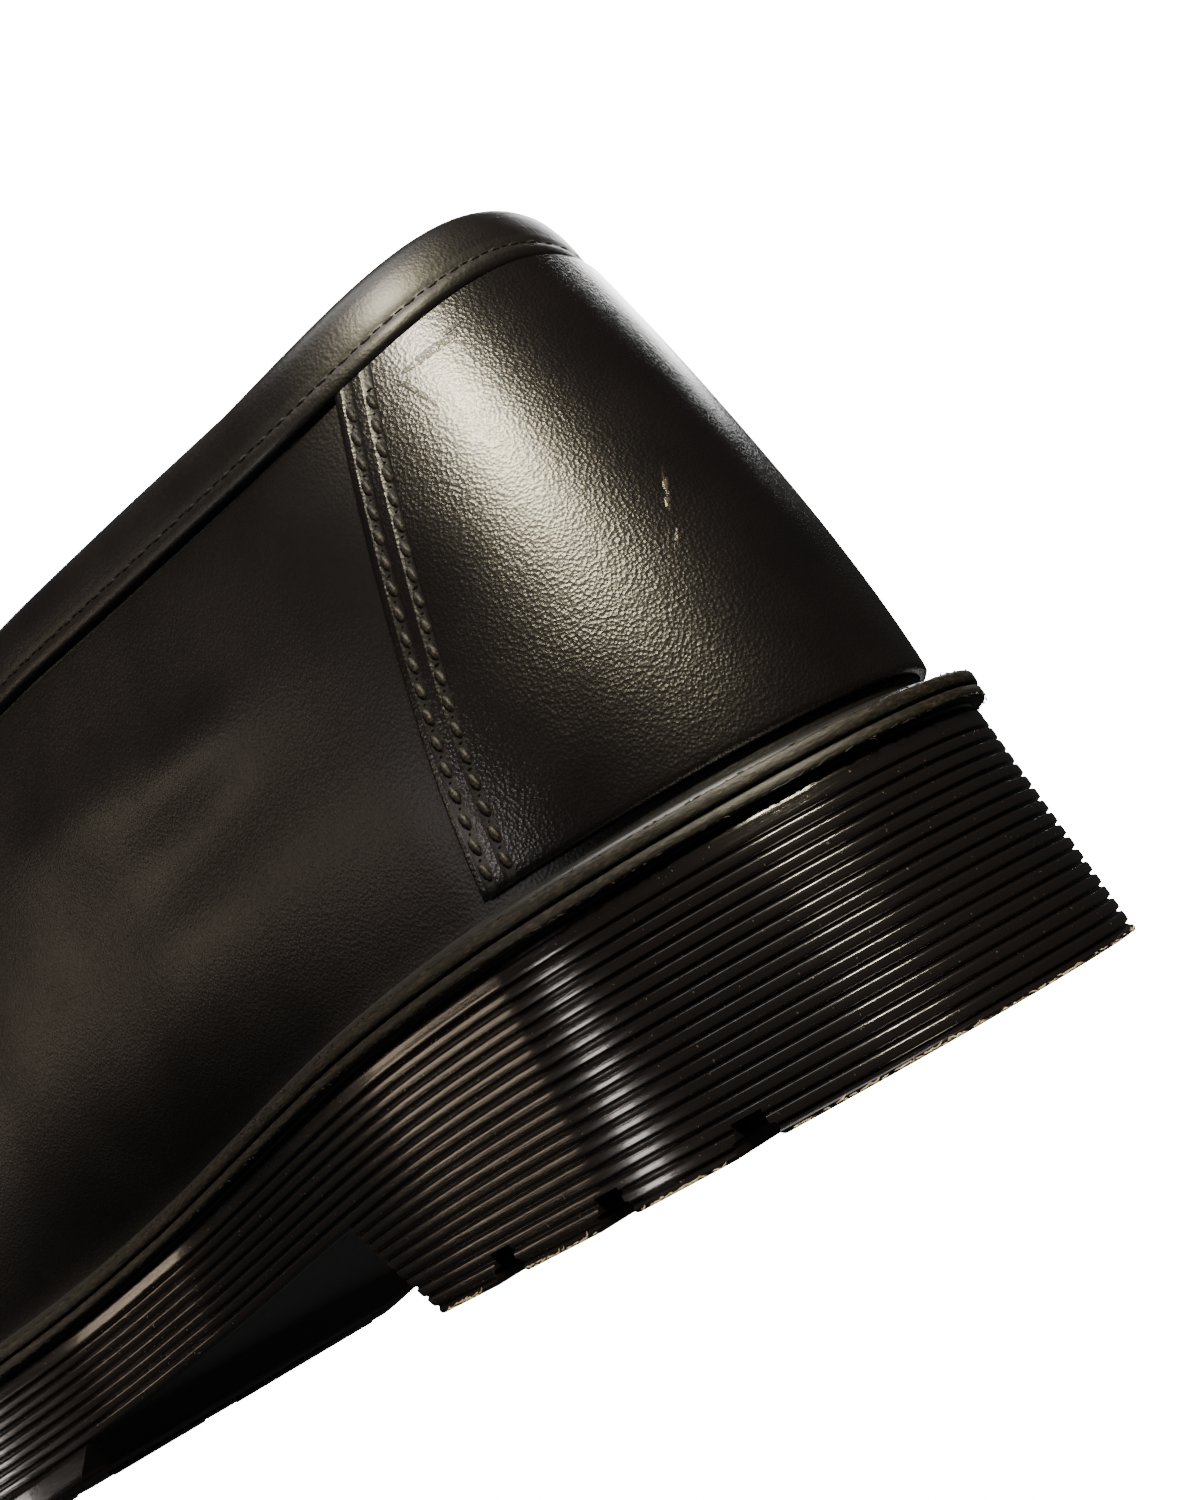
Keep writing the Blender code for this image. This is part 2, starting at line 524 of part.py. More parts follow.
class Last:
    """The outside of the upper: columns that run from the welt up to the collar."""

    HEEL_STEPS, SIDE_STEPS, TOE_STEPS, LEVELS = 24, 60, 36, 90

    def __init__(self):
        plan, normal = sole_plan(self.HEEL_STEPS, self.SIDE_STEPS, self.TOE_STEPS)
        x = plan[:, 0]
        self.normal = normal
        self.tip = len(plan) // 2
        is_medial = np.arange(len(plan)) <= self.tip
        self.swell = np.where(is_medial, read(UPPER_SECTIONS, x, 2), read(UPPER_SECTIONS, x, 3))
        self.foot = plan - normal * (read(UPPER_SECTIONS, x) - self.swell).reshape(-1, 1)
        self.medial = self.foot[: self.tip + 1]
        self.lateral = self.foot[: self.tip - 1: -1]
        self.top = self.collar()
        self.columns = [self.column(i) for i in range(len(plan))]
        self.grid = np.array([c[0] for c in self.columns])
        self.length = np.array([c[1] for c in self.columns])
        around = np.roll(self.grid, -1, 0) - np.roll(self.grid, 1, 0)
        up = np.gradient(self.grid, axis=1)
        out = np.cross(up, around)
        self.out = out / np.linalg.norm(out, axis=2)[:, :, None]

    def collar(self):
        """Where each column ends on the collar: one to one at the side, then round the throat."""
        count = self.SIDE_STEPS + self.TOE_STEPS
        foot = self.medial[self.HEEL_STEPS:]
        run = np.concatenate([[0], np.cumsum(np.linalg.norm(np.diff(foot, axis=0), axis=1))])
        rest = 1 - (1 - run / run[-1]) ** 2.25
        heel_m, side_m = collar_half(1, self.HEEL_STEPS, rest)
        heel_l, side_l = collar_half(-1, self.HEEL_STEPS, rest)
        medial = np.concatenate([heel_m, side_m])
        lateral = np.concatenate([heel_l, side_l])
        throat = self.HEEL_STEPS + count
        return np.concatenate([medial[: throat + 1], lateral[throat - 1:0:-1]])

    def edge(self, x, side):
        """The foot line's y at x."""
        line = self.medial if side > 0 else self.lateral
        return np.interp(x, line[:, 0], line[:, 1])

    def virtual_height(self, x, side):
        """Height of the section's crown over the welt: as if the collar were closed, or the ridge."""
        base = read(SOLE_TOP, x)
        ridge = read(RIDGE, x, 2) - base
        curl = np.clip((x - TOE_CURL_START) / (UPPER_TOE - TOE_CURL_START), 0, 1)
        ridge = ridge * np.clip(1 - curl ** TOE_CURL, 0, 1) ** (1 / TOE_CURL)
        half = len(self.top) // 2
        line = self.top[self.HEEL_STEPS: half + 1]
        if side < 0:
            line = self.top[half:-self.HEEL_STEPS + 1][::-1]
        middle = read(RIDGE, x, 1)
        y = np.interp(x, line[:, 0], line[:, 1])
        z = np.interp(x, line[:, 0], line[:, 2])
        share = np.clip((y - middle) / (self.edge(x, side) - middle), 0, 0.97)
        full = read(UPPER_SECTIONS, x, 4)
        open_height = (z - base) / (1 - share ** full) ** (1 / full)
        return np.where(x < COLLAR_FRONT, open_height, ridge)

    def column(self, i):
        """Points from the foot to the collar at even lengths, and the column's length."""
        foot, top = self.foot[i], self.top[i]
        from_back = min(i, len(self.foot) - i)
        along = np.linspace(0, 1, 160) ** 2.4
        xy = foot + (top[:2] - foot) * along[:, None]
        if from_back < self.HEEL_STEPS:
            x0 = foot[0]
            base = read(SOLE_TOP, x0)
            centre = np.array([HEEL_CENTRE, 0.0])
            share_top = np.linalg.norm(top[:2] - centre) / np.linalg.norm(foot - centre)
            share = 1 - along * (1 - share_top)
            full = read(UPPER_SECTIONS, x0, 4)
            tall = (top[2] - base) / (1 - share_top ** full) ** (1 / full)
            z = base + tall * np.clip(1 - share ** full, 0, 1) ** (1 / full)
        else:
            x = xy[:, 0]
            base = read(SOLE_TOP, x)
            middle = read(RIDGE, x, 1)
            actual = np.where(xy[:, 1] >= middle, 1, -1)
            edge = np.where(actual > 0, self.edge(x, 1), self.edge(x, -1))
            share = np.clip(np.abs(xy[:, 1] - middle) / np.maximum(np.abs(edge - middle), 1e-6), 0, 1)
            tall = np.where(actual > 0, self.virtual_height(x, 1), self.virtual_height(x, -1))
            full = read(UPPER_SECTIONS, x, 4)
            z = base + tall * np.clip(1 - share ** full, 0, 1) ** (1 / full)
        rise = np.clip((z - base - CLEAR_BEAD) / (top[2] - base), 0, 1)
        tuck = self.swell[i] * np.clip(1 - rise / TUCK, 0, 1) ** 2
        xy = xy - self.normal[i] * tuck[:, None]
        line = np.column_stack([xy, z])
        run = np.concatenate([[0], np.cumsum(np.linalg.norm(np.diff(line, axis=0), axis=1))])
        at = np.linspace(0, run[-1], self.LEVELS)
        return np.stack([np.interp(at, run, line[:, k]) for k in range(3)], 1), run[-1]

    def at(self, column, share, offset=0.0):
        """A point at a fractional column and a share of its length, moved out by an offset."""
        count = len(self.grid)
        column = np.asarray(column, float) % count
        share = np.clip(np.asarray(share, float), 0, 1) * (self.LEVELS - 1)
        i = np.floor(column).astype(int) % count
        j = np.clip(np.floor(share).astype(int), 0, self.LEVELS - 2)
        a, b = (column - np.floor(column))[..., None], (share - j)[..., None]
        k = (i + 1) % count

        def mix(grid):
            return ((1 - a) * ((1 - b) * grid[i, j] + b * grid[i, j + 1])
                    + a * ((1 - b) * grid[k, j] + b * grid[k, j + 1]))

        out = mix(self.out)
        out = out / np.linalg.norm(out, axis=-1)[..., None]
        return mix(self.grid) + out * np.asarray(offset, float)[..., None]

    def reach(self, column):
        """Length of a column at a fractional place."""
        count = len(self.grid)
        closed = np.append(self.length, self.length[0])
        return np.interp(np.asarray(column) % count, np.arange(count + 1), closed)

    def apron_share(self, columns):
        """Share of each column where the apron's seam crosses it."""
        from_tip = np.abs(np.asarray(columns) - self.tip)
        steps = np.linalg.norm(np.diff(self.medial, axis=0), axis=1)[::-1]
        run = np.interp(from_tip, np.arange(len(steps) + 1), np.concatenate([[0], np.cumsum(steps)]))
        return np.where(np.asarray(columns) <= self.tip, read(APRON, run, 1), read(APRON, run, 2))


def upper_columns(last):
    """Fractional columns at the same even steps as the sole's plan, right round."""
    heel, side, toe = STEPS
    medial = np.concatenate([
        np.linspace(0, last.HEEL_STEPS, heel + 1)[:-1],
        np.linspace(last.HEEL_STEPS, last.HEEL_STEPS + last.SIDE_STEPS, side + 1)[:-1],
        np.linspace(last.HEEL_STEPS + last.SIDE_STEPS, last.tip, toe + 1),
    ])
    return np.concatenate([medial, (2 * last.tip - medial[1:-1])[::-1]])


def upper(last, finish, parts):
    """One hollow wall, open at the collar and at the sole, with the apron's raised seam."""
    columns = upper_columns(last)
    length = last.reach(columns)
    seat = 1 - (BAND + BAND_GAP) / length
    side = APRON_REACH / length
    line = last.apron_share(columns)
    seam = np.minimum(line, seat - 2 * side)
    raised = APRON_RIDGE * np.clip((seat - line) / (2 * side), 0, 1)
    flush = np.zeros(len(columns))
    above = seam + side
    levels = [(flush, flush), (CLEAR_BEAD / length, flush)]
    levels += [(share * seam, flush) for share in BELOW_SEAM]
    levels += [(seam - side, flush), (seam, raised), (above, flush)]
    levels += [(above + share * (seat - above), flush) for share in ABOVE_SEAM]
    levels += [(seat, flush)]
    rows = [last.at(columns, share, offset) for share, offset in levels]
    rows += [last.at(columns, share * seat, flush - WALL) for share in INSIDE_LEVELS]
    floor = read(SOLE_TOP, rows[0][:, 0]) - LIP_TOP + SEAT
    rows[0][:, 2] = floor
    rows[-1][:, 2] = floor
    verts, faces = ring_stack(rows)
    return add_object("upper", verts, faces, finish, parts)


def collar_band(last, finish, parts):
    """The folded band that carries the collar's edge, a step thicker than the wall under it."""
    columns = upper_columns(last)
    length = last.reach(columns)
    flush = np.zeros(len(columns))
    rows = [last.at(columns, 1 - down / length, flush + offset) for down, offset in BAND_SECTION]
    verts, faces = ring_stack(rows)
    return add_object("collar_band", verts, faces, finish, parts)


def counter_share(last, columns, level):
    """Share of each column at a level of the counter, 0 at its foot and 1 under the band."""
    length = last.reach(columns)
    foot, head = COUNTER_FOOT / length, 1 - (BAND + BAND_GAP) / length
    return foot + (head - foot) * level


def seam_column(last, level, side):
    """The column where the counter's front edge crosses a level."""
    columns = side * np.linspace(last.HEEL_STEPS * 0.3, last.HEEL_STEPS * 1.6, 60)
    points = last.at(columns, counter_share(last, columns, level))
    ahead = points[:, 0] + COUNTER_SEAM_LEAN * (points[:, 2] - HEEL_HEIGHT) - COUNTER_SEAM_FOOT
    return float(np.interp(0.0, ahead, columns))


def heel_counter(last, finish, parts):
    """The overlay round the heel, laid on the upper from the welt to the collar's band."""
    layers = []
    for offset in (COUNTER_GAP + COUNTER, COUNTER_GAP):
        rows = []
        for level in np.linspace(0, 1, COUNTER_ROWS):
            ends = [seam_column(last, level, side) for side in (-1, 1)]
            columns = np.linspace(*ends, COUNTER_STEPS + 1)
            rows.append(last.at(columns, counter_share(last, columns, level), offset))
        layers.append(np.array(rows))
    outer, inner = layers
    high, wide = outer.shape[:2]
    verts = [tuple(p) for layer in layers for row in layer for p in row]
    faces = []

    def index(layer, j, i):
        return layer * high * wide + j * wide + i

    for j in range(high - 1):
        for i in range(wide - 1):
            for layer in (0, 1):
                faces.append((index(layer, j, i), index(layer, j, i + 1), index(layer, j + 1, i + 1),
                              index(layer, j + 1, i)))
        for i in (0, wide - 1):
            faces.append((index(0, j, i), index(0, j + 1, i), index(1, j + 1, i), index(1, j, i)))
    for i in range(wide - 1):
        for j in (0, high - 1):
            faces.append((index(0, j, i), index(0, j, i + 1), index(1, j, i + 1), index(1, j, i)))
    return add_object("heel_counter", verts, faces, finish, parts)


def insole(finish, parts):
    """The sheet that the foot stands on, inside the upper."""
    plan, normal = sole_plan(*STEPS)
    x = plan[:, 0]
    inset = read(UPPER_SECTIONS, x) + WALL + 3 * SEAT + INSOLE_NARROWS * np.clip(x - TOE_START, 0, None)
    low = read(SOLE_TOP, x) - LIP_TOP + SEAT
    rows = [np.column_stack([plan - normal * (inset + more).reshape(-1, 1), z])
            for z, more in ((low, 0.0), (low + INSOLE - INSOLE_BEVEL, 0.0), (low + INSOLE, INSOLE_BEVEL))]
    verts, faces = closed_stack(rows)
    return add_object("insole", verts, faces, finish, parts)


def collection(name):
    """A new collection in the scene."""
    made = bpy.data.collections.new(name)
    bpy.context.scene.collection.children.link(made)
    return made


def place_at_origin(objects, cutters):
    """Stand the shoe on z = 0 with the middle of its box over the origin; cutters go with it."""
    bpy.context.view_layer.update()
    graph = bpy.context.evaluated_depsgraph_get()
    corners = []
    for thing in objects:
        mesh = thing.evaluated_get(graph).to_mesh()
        places = np.empty(len(mesh.vertices) * 3, np.float32)
        mesh.vertices.foreach_get("co", places)
        corners.append(places.reshape(-1, 3))
    every = np.concatenate(corners)
    low, high = every.min(0), every.max(0)
    root = bpy.data.objects.new("loafer", None)
    bpy.context.scene.collection.objects.link(root)
    root.location = (-(low[0] + high[0]) / 2, -(low[1] + high[1]) / 2, -low[2])
    for thing in objects + cutters:
        thing.parent = root


def main():
    for thing in list(bpy.data.objects):
        bpy.data.objects.remove(thing)
    parts = collection("loafer")
    cutters = collection("cutters")
    rubber = material("sole_rubber", (0.030, 0.024, 0.022), 0.32)
    leather = material("upper_leather", (0.016, 0.014, 0.013), 0.42)
    edge = material("welt_rubber", (0.018, 0.017, 0.016), 0.25)
    band = material("band_leather", (0.018, 0.016, 0.014), 0.45)
    overlay = material("counter_leather", (0.016, 0.014, 0.013), 0.40)
    lining = material("insole_leather", (0.030, 0.024, 0.020), 0.60)

    sole = sole_layer(rubber, parts)
    for block, hollows in ((heel_block(cutters), heel_tread(cutters)),
                           (forefoot_block(cutters), forefoot_tread(cutters))):
        boolean(block, hollows, "DIFFERENCE")
        boolean(sole, block, "UNION")
    last = Last()
    pieces = [sole, welt(edge, parts), upper(last, leather, parts), collar_band(last, band, parts),
              heel_counter(last, overlay, parts), insole(lining, parts)]
    for thing in cutters.objects:
        thing.hide_render = True
        thing.display_type = "WIRE"
    place_at_origin(pieces, list(cutters.objects))


main()
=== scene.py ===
"""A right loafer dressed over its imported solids: ribbed sole, welt, upper, counter, collar, stitches.

Lengths in the tables are millimetres in the shoe's own frame: x runs from the back of the heel
to the toe, +y is the inner (medial) side, z is the height over the floor.
"""
import json
import math

import bmesh
import bpy
import numpy as np
from bmesh.types import BMEdge, BMFace, BMVert
from mathutils import Matrix, Vector, noise

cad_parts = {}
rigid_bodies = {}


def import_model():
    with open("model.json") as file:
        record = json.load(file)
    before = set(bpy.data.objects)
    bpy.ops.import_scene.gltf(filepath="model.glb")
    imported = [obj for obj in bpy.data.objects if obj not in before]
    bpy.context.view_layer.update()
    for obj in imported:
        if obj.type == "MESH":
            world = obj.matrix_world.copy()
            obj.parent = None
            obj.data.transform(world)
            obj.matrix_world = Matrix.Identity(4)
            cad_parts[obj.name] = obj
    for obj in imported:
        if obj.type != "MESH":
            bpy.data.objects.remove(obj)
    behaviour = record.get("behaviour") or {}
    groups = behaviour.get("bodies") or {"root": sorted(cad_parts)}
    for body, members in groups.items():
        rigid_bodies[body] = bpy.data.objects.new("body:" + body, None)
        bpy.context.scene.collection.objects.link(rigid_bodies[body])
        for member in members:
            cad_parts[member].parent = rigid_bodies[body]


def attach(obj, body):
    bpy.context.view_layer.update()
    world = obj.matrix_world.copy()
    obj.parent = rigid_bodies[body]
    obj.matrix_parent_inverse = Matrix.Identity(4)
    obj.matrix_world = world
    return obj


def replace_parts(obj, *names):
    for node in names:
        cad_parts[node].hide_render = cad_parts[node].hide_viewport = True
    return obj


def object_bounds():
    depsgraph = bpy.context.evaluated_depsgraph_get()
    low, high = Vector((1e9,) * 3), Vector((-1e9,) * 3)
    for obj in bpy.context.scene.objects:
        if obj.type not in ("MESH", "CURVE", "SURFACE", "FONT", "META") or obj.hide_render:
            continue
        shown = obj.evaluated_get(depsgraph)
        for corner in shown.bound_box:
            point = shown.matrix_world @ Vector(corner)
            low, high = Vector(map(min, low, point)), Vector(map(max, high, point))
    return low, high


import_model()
cad_low, cad_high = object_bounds()
MM = 0.001

# ---- the sole's own sizes
# points of a quarter of the heel, of a side, of a quarter of the toe
SOLE_STEPS = (34, 84, 44)
SOLE_LENGTH = 300.0
HEEL_CENTRE = 48.0
HEEL_HALF_WIDTH = 34.4
HEEL_ROUND = 1.95
TOE_Y = -4.0
TOE_ROUND = 2.1
TOE_START = 222.0
# x, medial edge, lateral edge
SOLE_SIDES = (
    (48.0, 34.4, -34.4), (70.0, 32.6, -33.6), (92.0, 29.4, -32.9), (110.0, 26.4, -34.2),
    (128.0, 24.8, -37.4), (146.0, 25.4, -41.8), (166.0, 30.2, -47.8), (188.0, 38.8, -53.2),
    (205.0, 44.8, -55.8), (222.0, 47.4, -56.4),
)
HEEL_HEIGHT = 33.0
# x where the heel's side begins to flare, x where it flares in full
FLARE_START, FLARE_FULL = 110.0, 80.0
# x, top of the welt
SOLE_TOP = (
    (0.0, 33.0), (48.0, 33.0), (72.0, 32.3), (100.0, 29.9), (130.0, 26.7), (160.0, 23.7),
    (190.0, 21.6), (215.0, 21.0), (240.0, 21.7), (265.0, 24.0), (285.0, 26.8), (300.0, 29.2),
)
# x, floor side of the forefoot tread
TREAD = (
    (160.0, 2.2), (172.0, 0.7), (184.0, 0.0), (228.0, 0.0), (250.0, 1.7), (275.0, 5.0), (300.0, 9.2),
)
TREAD_DEPTH = 3.3
FOREFOOT_START = 162.0
BREAST_AT_FLOOR = 77.5
BREAST_LEAN = 0.8
PITCH = 1.6                 # one rib of the side
WELT_THICKNESS = 1.6
LIP_TOP = WELT_THICKNESS + 0.3
LIP_BOTTOM = 2 * PITCH
FIRST_GROOVE = 4 * PITCH
LONG_GROOVES = 7
LAYER_BOTTOM = FIRST_GROOVE + LONG_GROOVES * PITCH
HEEL_GROOVES = 9
GROOVE_DEPTH = 0.5
SIDE_INSET = 1.3
HEEL_FLARE = 2.1
WAIST_FLARE = 0.3
LIP_ROUGH, WELT_ROUGH = 0.07, 0.08      # how far the trimmed edges wander
# the long layer over its ribs: depth, inset from the lip
LIP_SECTION = (
    (LIP_TOP, 0.25), (LIP_TOP + 0.2, 0.02), (LIP_BOTTOM - 0.25, 0.0), (LIP_BOTTOM, 0.18),
    (LIP_BOTTOM + 0.15, SIDE_INSET + 0.5), (LIP_BOTTOM + 0.45, SIDE_INSET + 0.62),
    (LIP_BOTTOM + 0.8, SIDE_INSET + 0.3), (3 * PITCH, SIDE_INSET + 0.14),
    (3.5 * PITCH, SIDE_INSET + 0.1), (FIRST_GROOVE - 0.5, SIDE_INSET + 0.02),
    (FIRST_GROOVE - 0.25, SIDE_INSET + 0.06),
)
# a rib: share of the pitch down from the middle of a groove, share of the groove's depth
RIB = (
    (0.0, 1.0), (0.05, 0.93), (0.10, 0.6), (0.14, 0.24), (0.18, 0.06), (0.23, 0.0), (0.30, -0.02),
    (0.5, -0.04), (0.70, -0.02), (0.77, 0.0), (0.82, 0.06), (0.86, 0.24), (0.90, 0.6), (0.95, 0.93),
)

# ---- the upper's own sizes
HEEL_COLUMNS = 32
LAST_STEPS = (HEEL_COLUMNS, 84, 48)
LAST_LEVELS = 110
COLUMN_SAMPLES, CROWDING = 160, 2.4     # CROWDING over 1: the first samples stand closer
THROAT_FLOW = 2.25          # how early the columns in front of the heel turn to the throat
WALL = 2.2
BEAD = 1.1
CLEAR_BEAD = 1.5
UPPER_TOE = 296.0
# x, how far the upper stands in from the lip, swell over its foot (medial, lateral), fullness
UPPER_SECTIONS = (
    (0.0, 5.6, 0.3, 0.3, 1.25), (20.0, 4.0, 1.0, 1.0, 1.70), (48.0, 3.3, 1.8, 1.8, 2.20),
    (75.0, 3.4, 3.2, 2.2, 2.20), (100.0, 3.6, 6.0, 2.6, 2.10), (125.0, 3.8, 7.6, 2.8, 2.00),
    (150.0, 4.0, 6.4, 2.8, 1.95), (180.0, 4.4, 4.0, 2.6, 2.05), (210.0, 4.6, 2.8, 2.4, 2.15),
    (260.0, 4.6, 2.0, 2.0, 2.40), (300.0, 4.4, 1.6, 1.6, 2.40),
)
STEEP_SHARE = 0.97          # nearer to its foot a section is too steep to give its crown's height
TUCK = 0.32                 # share of the height over which the upper swells out from its foot
# x, side shift of the ridge of the instep, its height
RIDGE = (
    (0.0, 0.0, 105.0), (120.0, 0.0, 105.0), (152.0, 1.0, 104.6), (172.0, 3.0, 94.5), (192.0, 4.5, 84.0),
    (212.0, 4.5, 75.0), (232.0, 3.0, 67.6), (252.0, 0.5, 62.4), (272.0, -2.0, 59.4), (300.0, -4.0, 58.0),
)
TOE_CURL_START = 250.0
TOE_CURL = 2.5
COLLAR_BACK = 19.0
COLLAR_FRONT = 152.0
COLLAR_FRONT_START = 112.0
# x, medial edge, lateral edge, height
COLLAR_SIDES = (
    (48.0, 27.2, -27.2, 100.0), (72.0, 28.3, -28.8, 100.6), (94.0, 27.4, -28.6, 101.8),
    (112.0, 25.6, -27.2, 102.8), (152.0, 25.6, -27.2, 104.6),
)
COLLAR_HEIGHT_BACK = 108.0
COLLAR_SAMPLES = 60
COLLAR_ROUND = 2.1
THROAT_ROUND = 2.05
BAND = 9.4
BAND_GAP = 0.6
# the folded band: how far down from the collar's edge, how far out from the upper
BAND_SECTION = (
    (BAND + 0.65, -1.2), (BAND + 0.65, -0.35), (BAND + 0.1, -0.3), (BAND, 0.35), (BAND - 0.25, 0.75),
    (BAND - 0.7, 1.0), (BAND - 1.5, 1.12), (BAND - 2.0, 1.02), (BAND - 2.3, 0.94), (BAND - 2.6, 1.02),
    (BAND - 3.2, 1.16), (BAND - 4.8, 1.3), (3.2, 1.3), (1.9, 1.15), (1.0, 0.75), (0.4, 0.2),
    (0.05, -0.5), (0.1, -1.3), (0.6, -2.0), (1.6, -2.45), (4.0, -2.6), (BAND, -2.6),
    (BAND + 0.65, -2.1),
)
COUNTER = 1.2
COUNTER_GAP = 0.3
COUNTER_FOOT = 2.6
COUNTER_SEAM_FOOT = 45.0
SEAM_SEARCH = (0.3, 1.6)    # shares of the heel's columns between which the front edge lies
COUNTER_SEAM_LEAN = 0.19
COUNTER_EDGE = 0.9          # rounding of its edges
# distances from the counter's front edge where its mesh has lines
COUNTER_LINES = (0.0, 0.12, 0.35, 0.7, 1.15, 1.7, 2.4, 3.2, 4.2, 5.4)
COUNTER_FREE, COUNTER_LEVELS = 76, 46   # lines between those of the two edges, lines up the counter
OTHER_EDGE = -1e-9          # on the other front edge: distances from that one are negative
# way back from the toe's tip along the foot, share of the column of the apron's seam on each side
APRON = (
    (0.0, 0.294, 0.294), (6.0, 0.2943, 0.2943), (28.0, 0.307, 0.312), (48.0, 0.345, 0.380),
    (72.0, 0.400, 0.490), (99.0, 0.500, 0.620), (123.0, 0.620, 0.730),
    (147.0, 0.750, 0.820), (170.0, 0.885, 0.905), (190.0, 0.960, 0.970),
)
APRON_RIDGE = 1.3
APRON_REACH = 2.4
RIDGE_TUCK = (3.0, 0.3)     # the ridge sinks so near to the band, to this share of its height
VAMP_ROWS, RIDGE_ROWS, APRON_ROWS, LINING_ROWS = 26, 11, 17, 18     # lines up the upper's mesh
UNDER_WELT = LIP_TOP - 0.3  # how far the upper and the insole reach below the top of the welt
INSOLE = 3.0
INSOLE_GAP = 0.9            # between the insole and the upper's wall
INSOLE_NARROWING = 0.012    # how much further in it stands for each millimetre towards the toe
DISH = 0.5                  # how far the insole sinks towards its middle
# soft folds of the leather: x, side (1 medial, -1 lateral), share up the column,
# half length along the foot, half width up the column, depth (a ridge is negative)
FOLDS = (
    (76.0, 1, 0.55, 15.0, 0.07, -0.7), (98.0, 1, 0.62, 17.0, 0.07, -0.7),
    (86.0, 1, 0.43, 26.0, 0.09, 0.9), (112.0, 1, 0.30, 26.0, 0.10, 0.7),
    (80.0, -1, 0.52, 36.0, 0.14, 0.8), (122.0, -1, 0.26, 24.0, 0.10, 0.6),
    (196.0, 1, 0.52, 7.0, 0.16, 0.55), (207.0, 1, 0.47, 6.0, 0.17, 0.6),
    (186.0, 1, 0.50, 5.0, 0.12, -0.3), (192.0, -1, 0.50, 7.0, 0.16, 0.55),
    (204.0, -1, 0.46, 6.0, 0.17, 0.6),
)

# ---- stitches
STITCH_PITCH = 2.9
# length, width and thickness of a stitch, and how far its ends sink
SEAM_STITCH = (2.5, 1.15, 0.62, 0.2)
COLLAR_STITCH = (2.3, 0.5, 0.4, 0.25)
APRON_STITCH = (3.2, 0.9, 0.8, 0.34)
# a needle hole, a near-black lens of painted shade: share of a stitch's width, half thickness, share of the
# gap's length, sinking
HOLE_WIDTH, HOLE_THICK, HOLE_LENGTH, HOLE_SINK = 0.5, 0.05, 0.62, 0.04
SEAM_ROWS = (2.0, 4.7)      # distance of the counter's two rows from its front edge
COLLAR_ROW = BAND - 2.3
COLLAR_PITCH = 3.3
APRON_PITCH = 4.2

# ---- tread
LUG_PITCH = 8.9
LUG_WIDTH = 4.1
LUG_POINT = 2.0
CHANNEL_SPACING = 26.0
CHANNEL_HALF = 3.0
HEEL_FIRST_LUG = 22.0
HEEL_LUG_ROWS = 7
HEEL_BORDER = 25.0
HEEL_ARC, HEEL_ARC_BEND = 14.6, 0.0095  # x of the curved end of the heel's hollow, and its bend
FOREFOOT_FIRST_LUG = 171.0
FOREFOOT_LUG_ROWS = 12
FOREFOOT_BORDER = 11.0
PAST_SIDE = 75.0
CORNER, CORNER_POINTS = 1.3, 4          # rounding of the lugs' corners
RIM = 2.6                   # a lug's wall stands at least so far inside the sole's outline
LEVEL, STEEP = 0.9, 0.85    # how much of a face's normal is upright
NEAR_GROUND, NEAR_ROOF = 0.3, 0.5       # level faces so near the ground or the roof belong to it
CHANNEL_CLEAR = 6.0         # way from a channel's middle to the border of the lugs
HEEL_REACH = SOLE_STEPS[0] + 30         # points of the plan on each side that a block takes
FOREFOOT_REACH = SOLE_STEPS[2] + 38
PAST_BREAST = 20.0          # way of the heel's hollow past the breast
CLOSING_CORNERS = 40        # only the faces that close a block have more corners
# a lug's wall: height over the ground, how much wider than the lug the hollow is cut
LUG_WALL = ((-2.0, 0.35), (0.0, 0.35), (0.3, 0.05), (1.5, -0.05), (1.65, -0.55), (TREAD_DEPTH, -0.7))
MOUTH, ROOF = 7, 8          # marks of the level faces that close a cutter
SLICE_BACK = 2.4            # way back from a lug to where such a face is cut across


# ---- curves
def read(table, x, column=1):
    """Value of a table's column at x, by a smooth curve through its rows."""
    xs = np.array([row[0] for row in table])
    ys = np.array([row[column] for row in table])
    step = np.diff(xs)
    slope = np.diff(ys) / step
    tangent = np.concatenate([[slope[0]], (slope[:-1] + slope[1:]) / 2, [slope[-1]]])
    flat = np.concatenate([[False], slope[:-1] * slope[1:] <= 0, [False]])
    tangent[flat] = 0.0
    x = np.clip(np.asarray(x, float), xs[0], xs[-1])
    i = np.clip(np.searchsorted(xs, x, side="right") - 1, 0, len(step) - 1)
    t = (x - xs[i]) / step[i]
    return (ys[i] * (1 + 2 * t) * (1 - t) ** 2 + tangent[i] * step[i] * t * (1 - t) ** 2
            + ys[i + 1] * t * t * (3 - 2 * t) + tangent[i + 1] * step[i] * t * t * (t - 1))


def quarter(steps, exponent, ending=False):
    """Points of a rounded quarter, from (1, 0) to (0, 1), without its last point unless ending."""
    angle = np.linspace(0, math.pi / 2, steps + 1)
    if not ending:
        angle = angle[:-1]
    return np.abs(np.cos(angle)) ** (2 / exponent), np.abs(np.sin(angle)) ** (2 / exponent)


def way_along(line):
    """Length of the way from a line's first point to each of its points."""
    return np.concatenate([[0], np.cumsum(np.linalg.norm(np.diff(line, axis=0), axis=1))])


def point_at(line, run, way):
    """The point of a line, or the points, at a length of the way along it."""
    return np.stack([np.interp(way, run, values) for values in line.T], -1)


def closed(line):
    """A line that ends where it begins."""
    return np.concatenate([line, line[:1]])


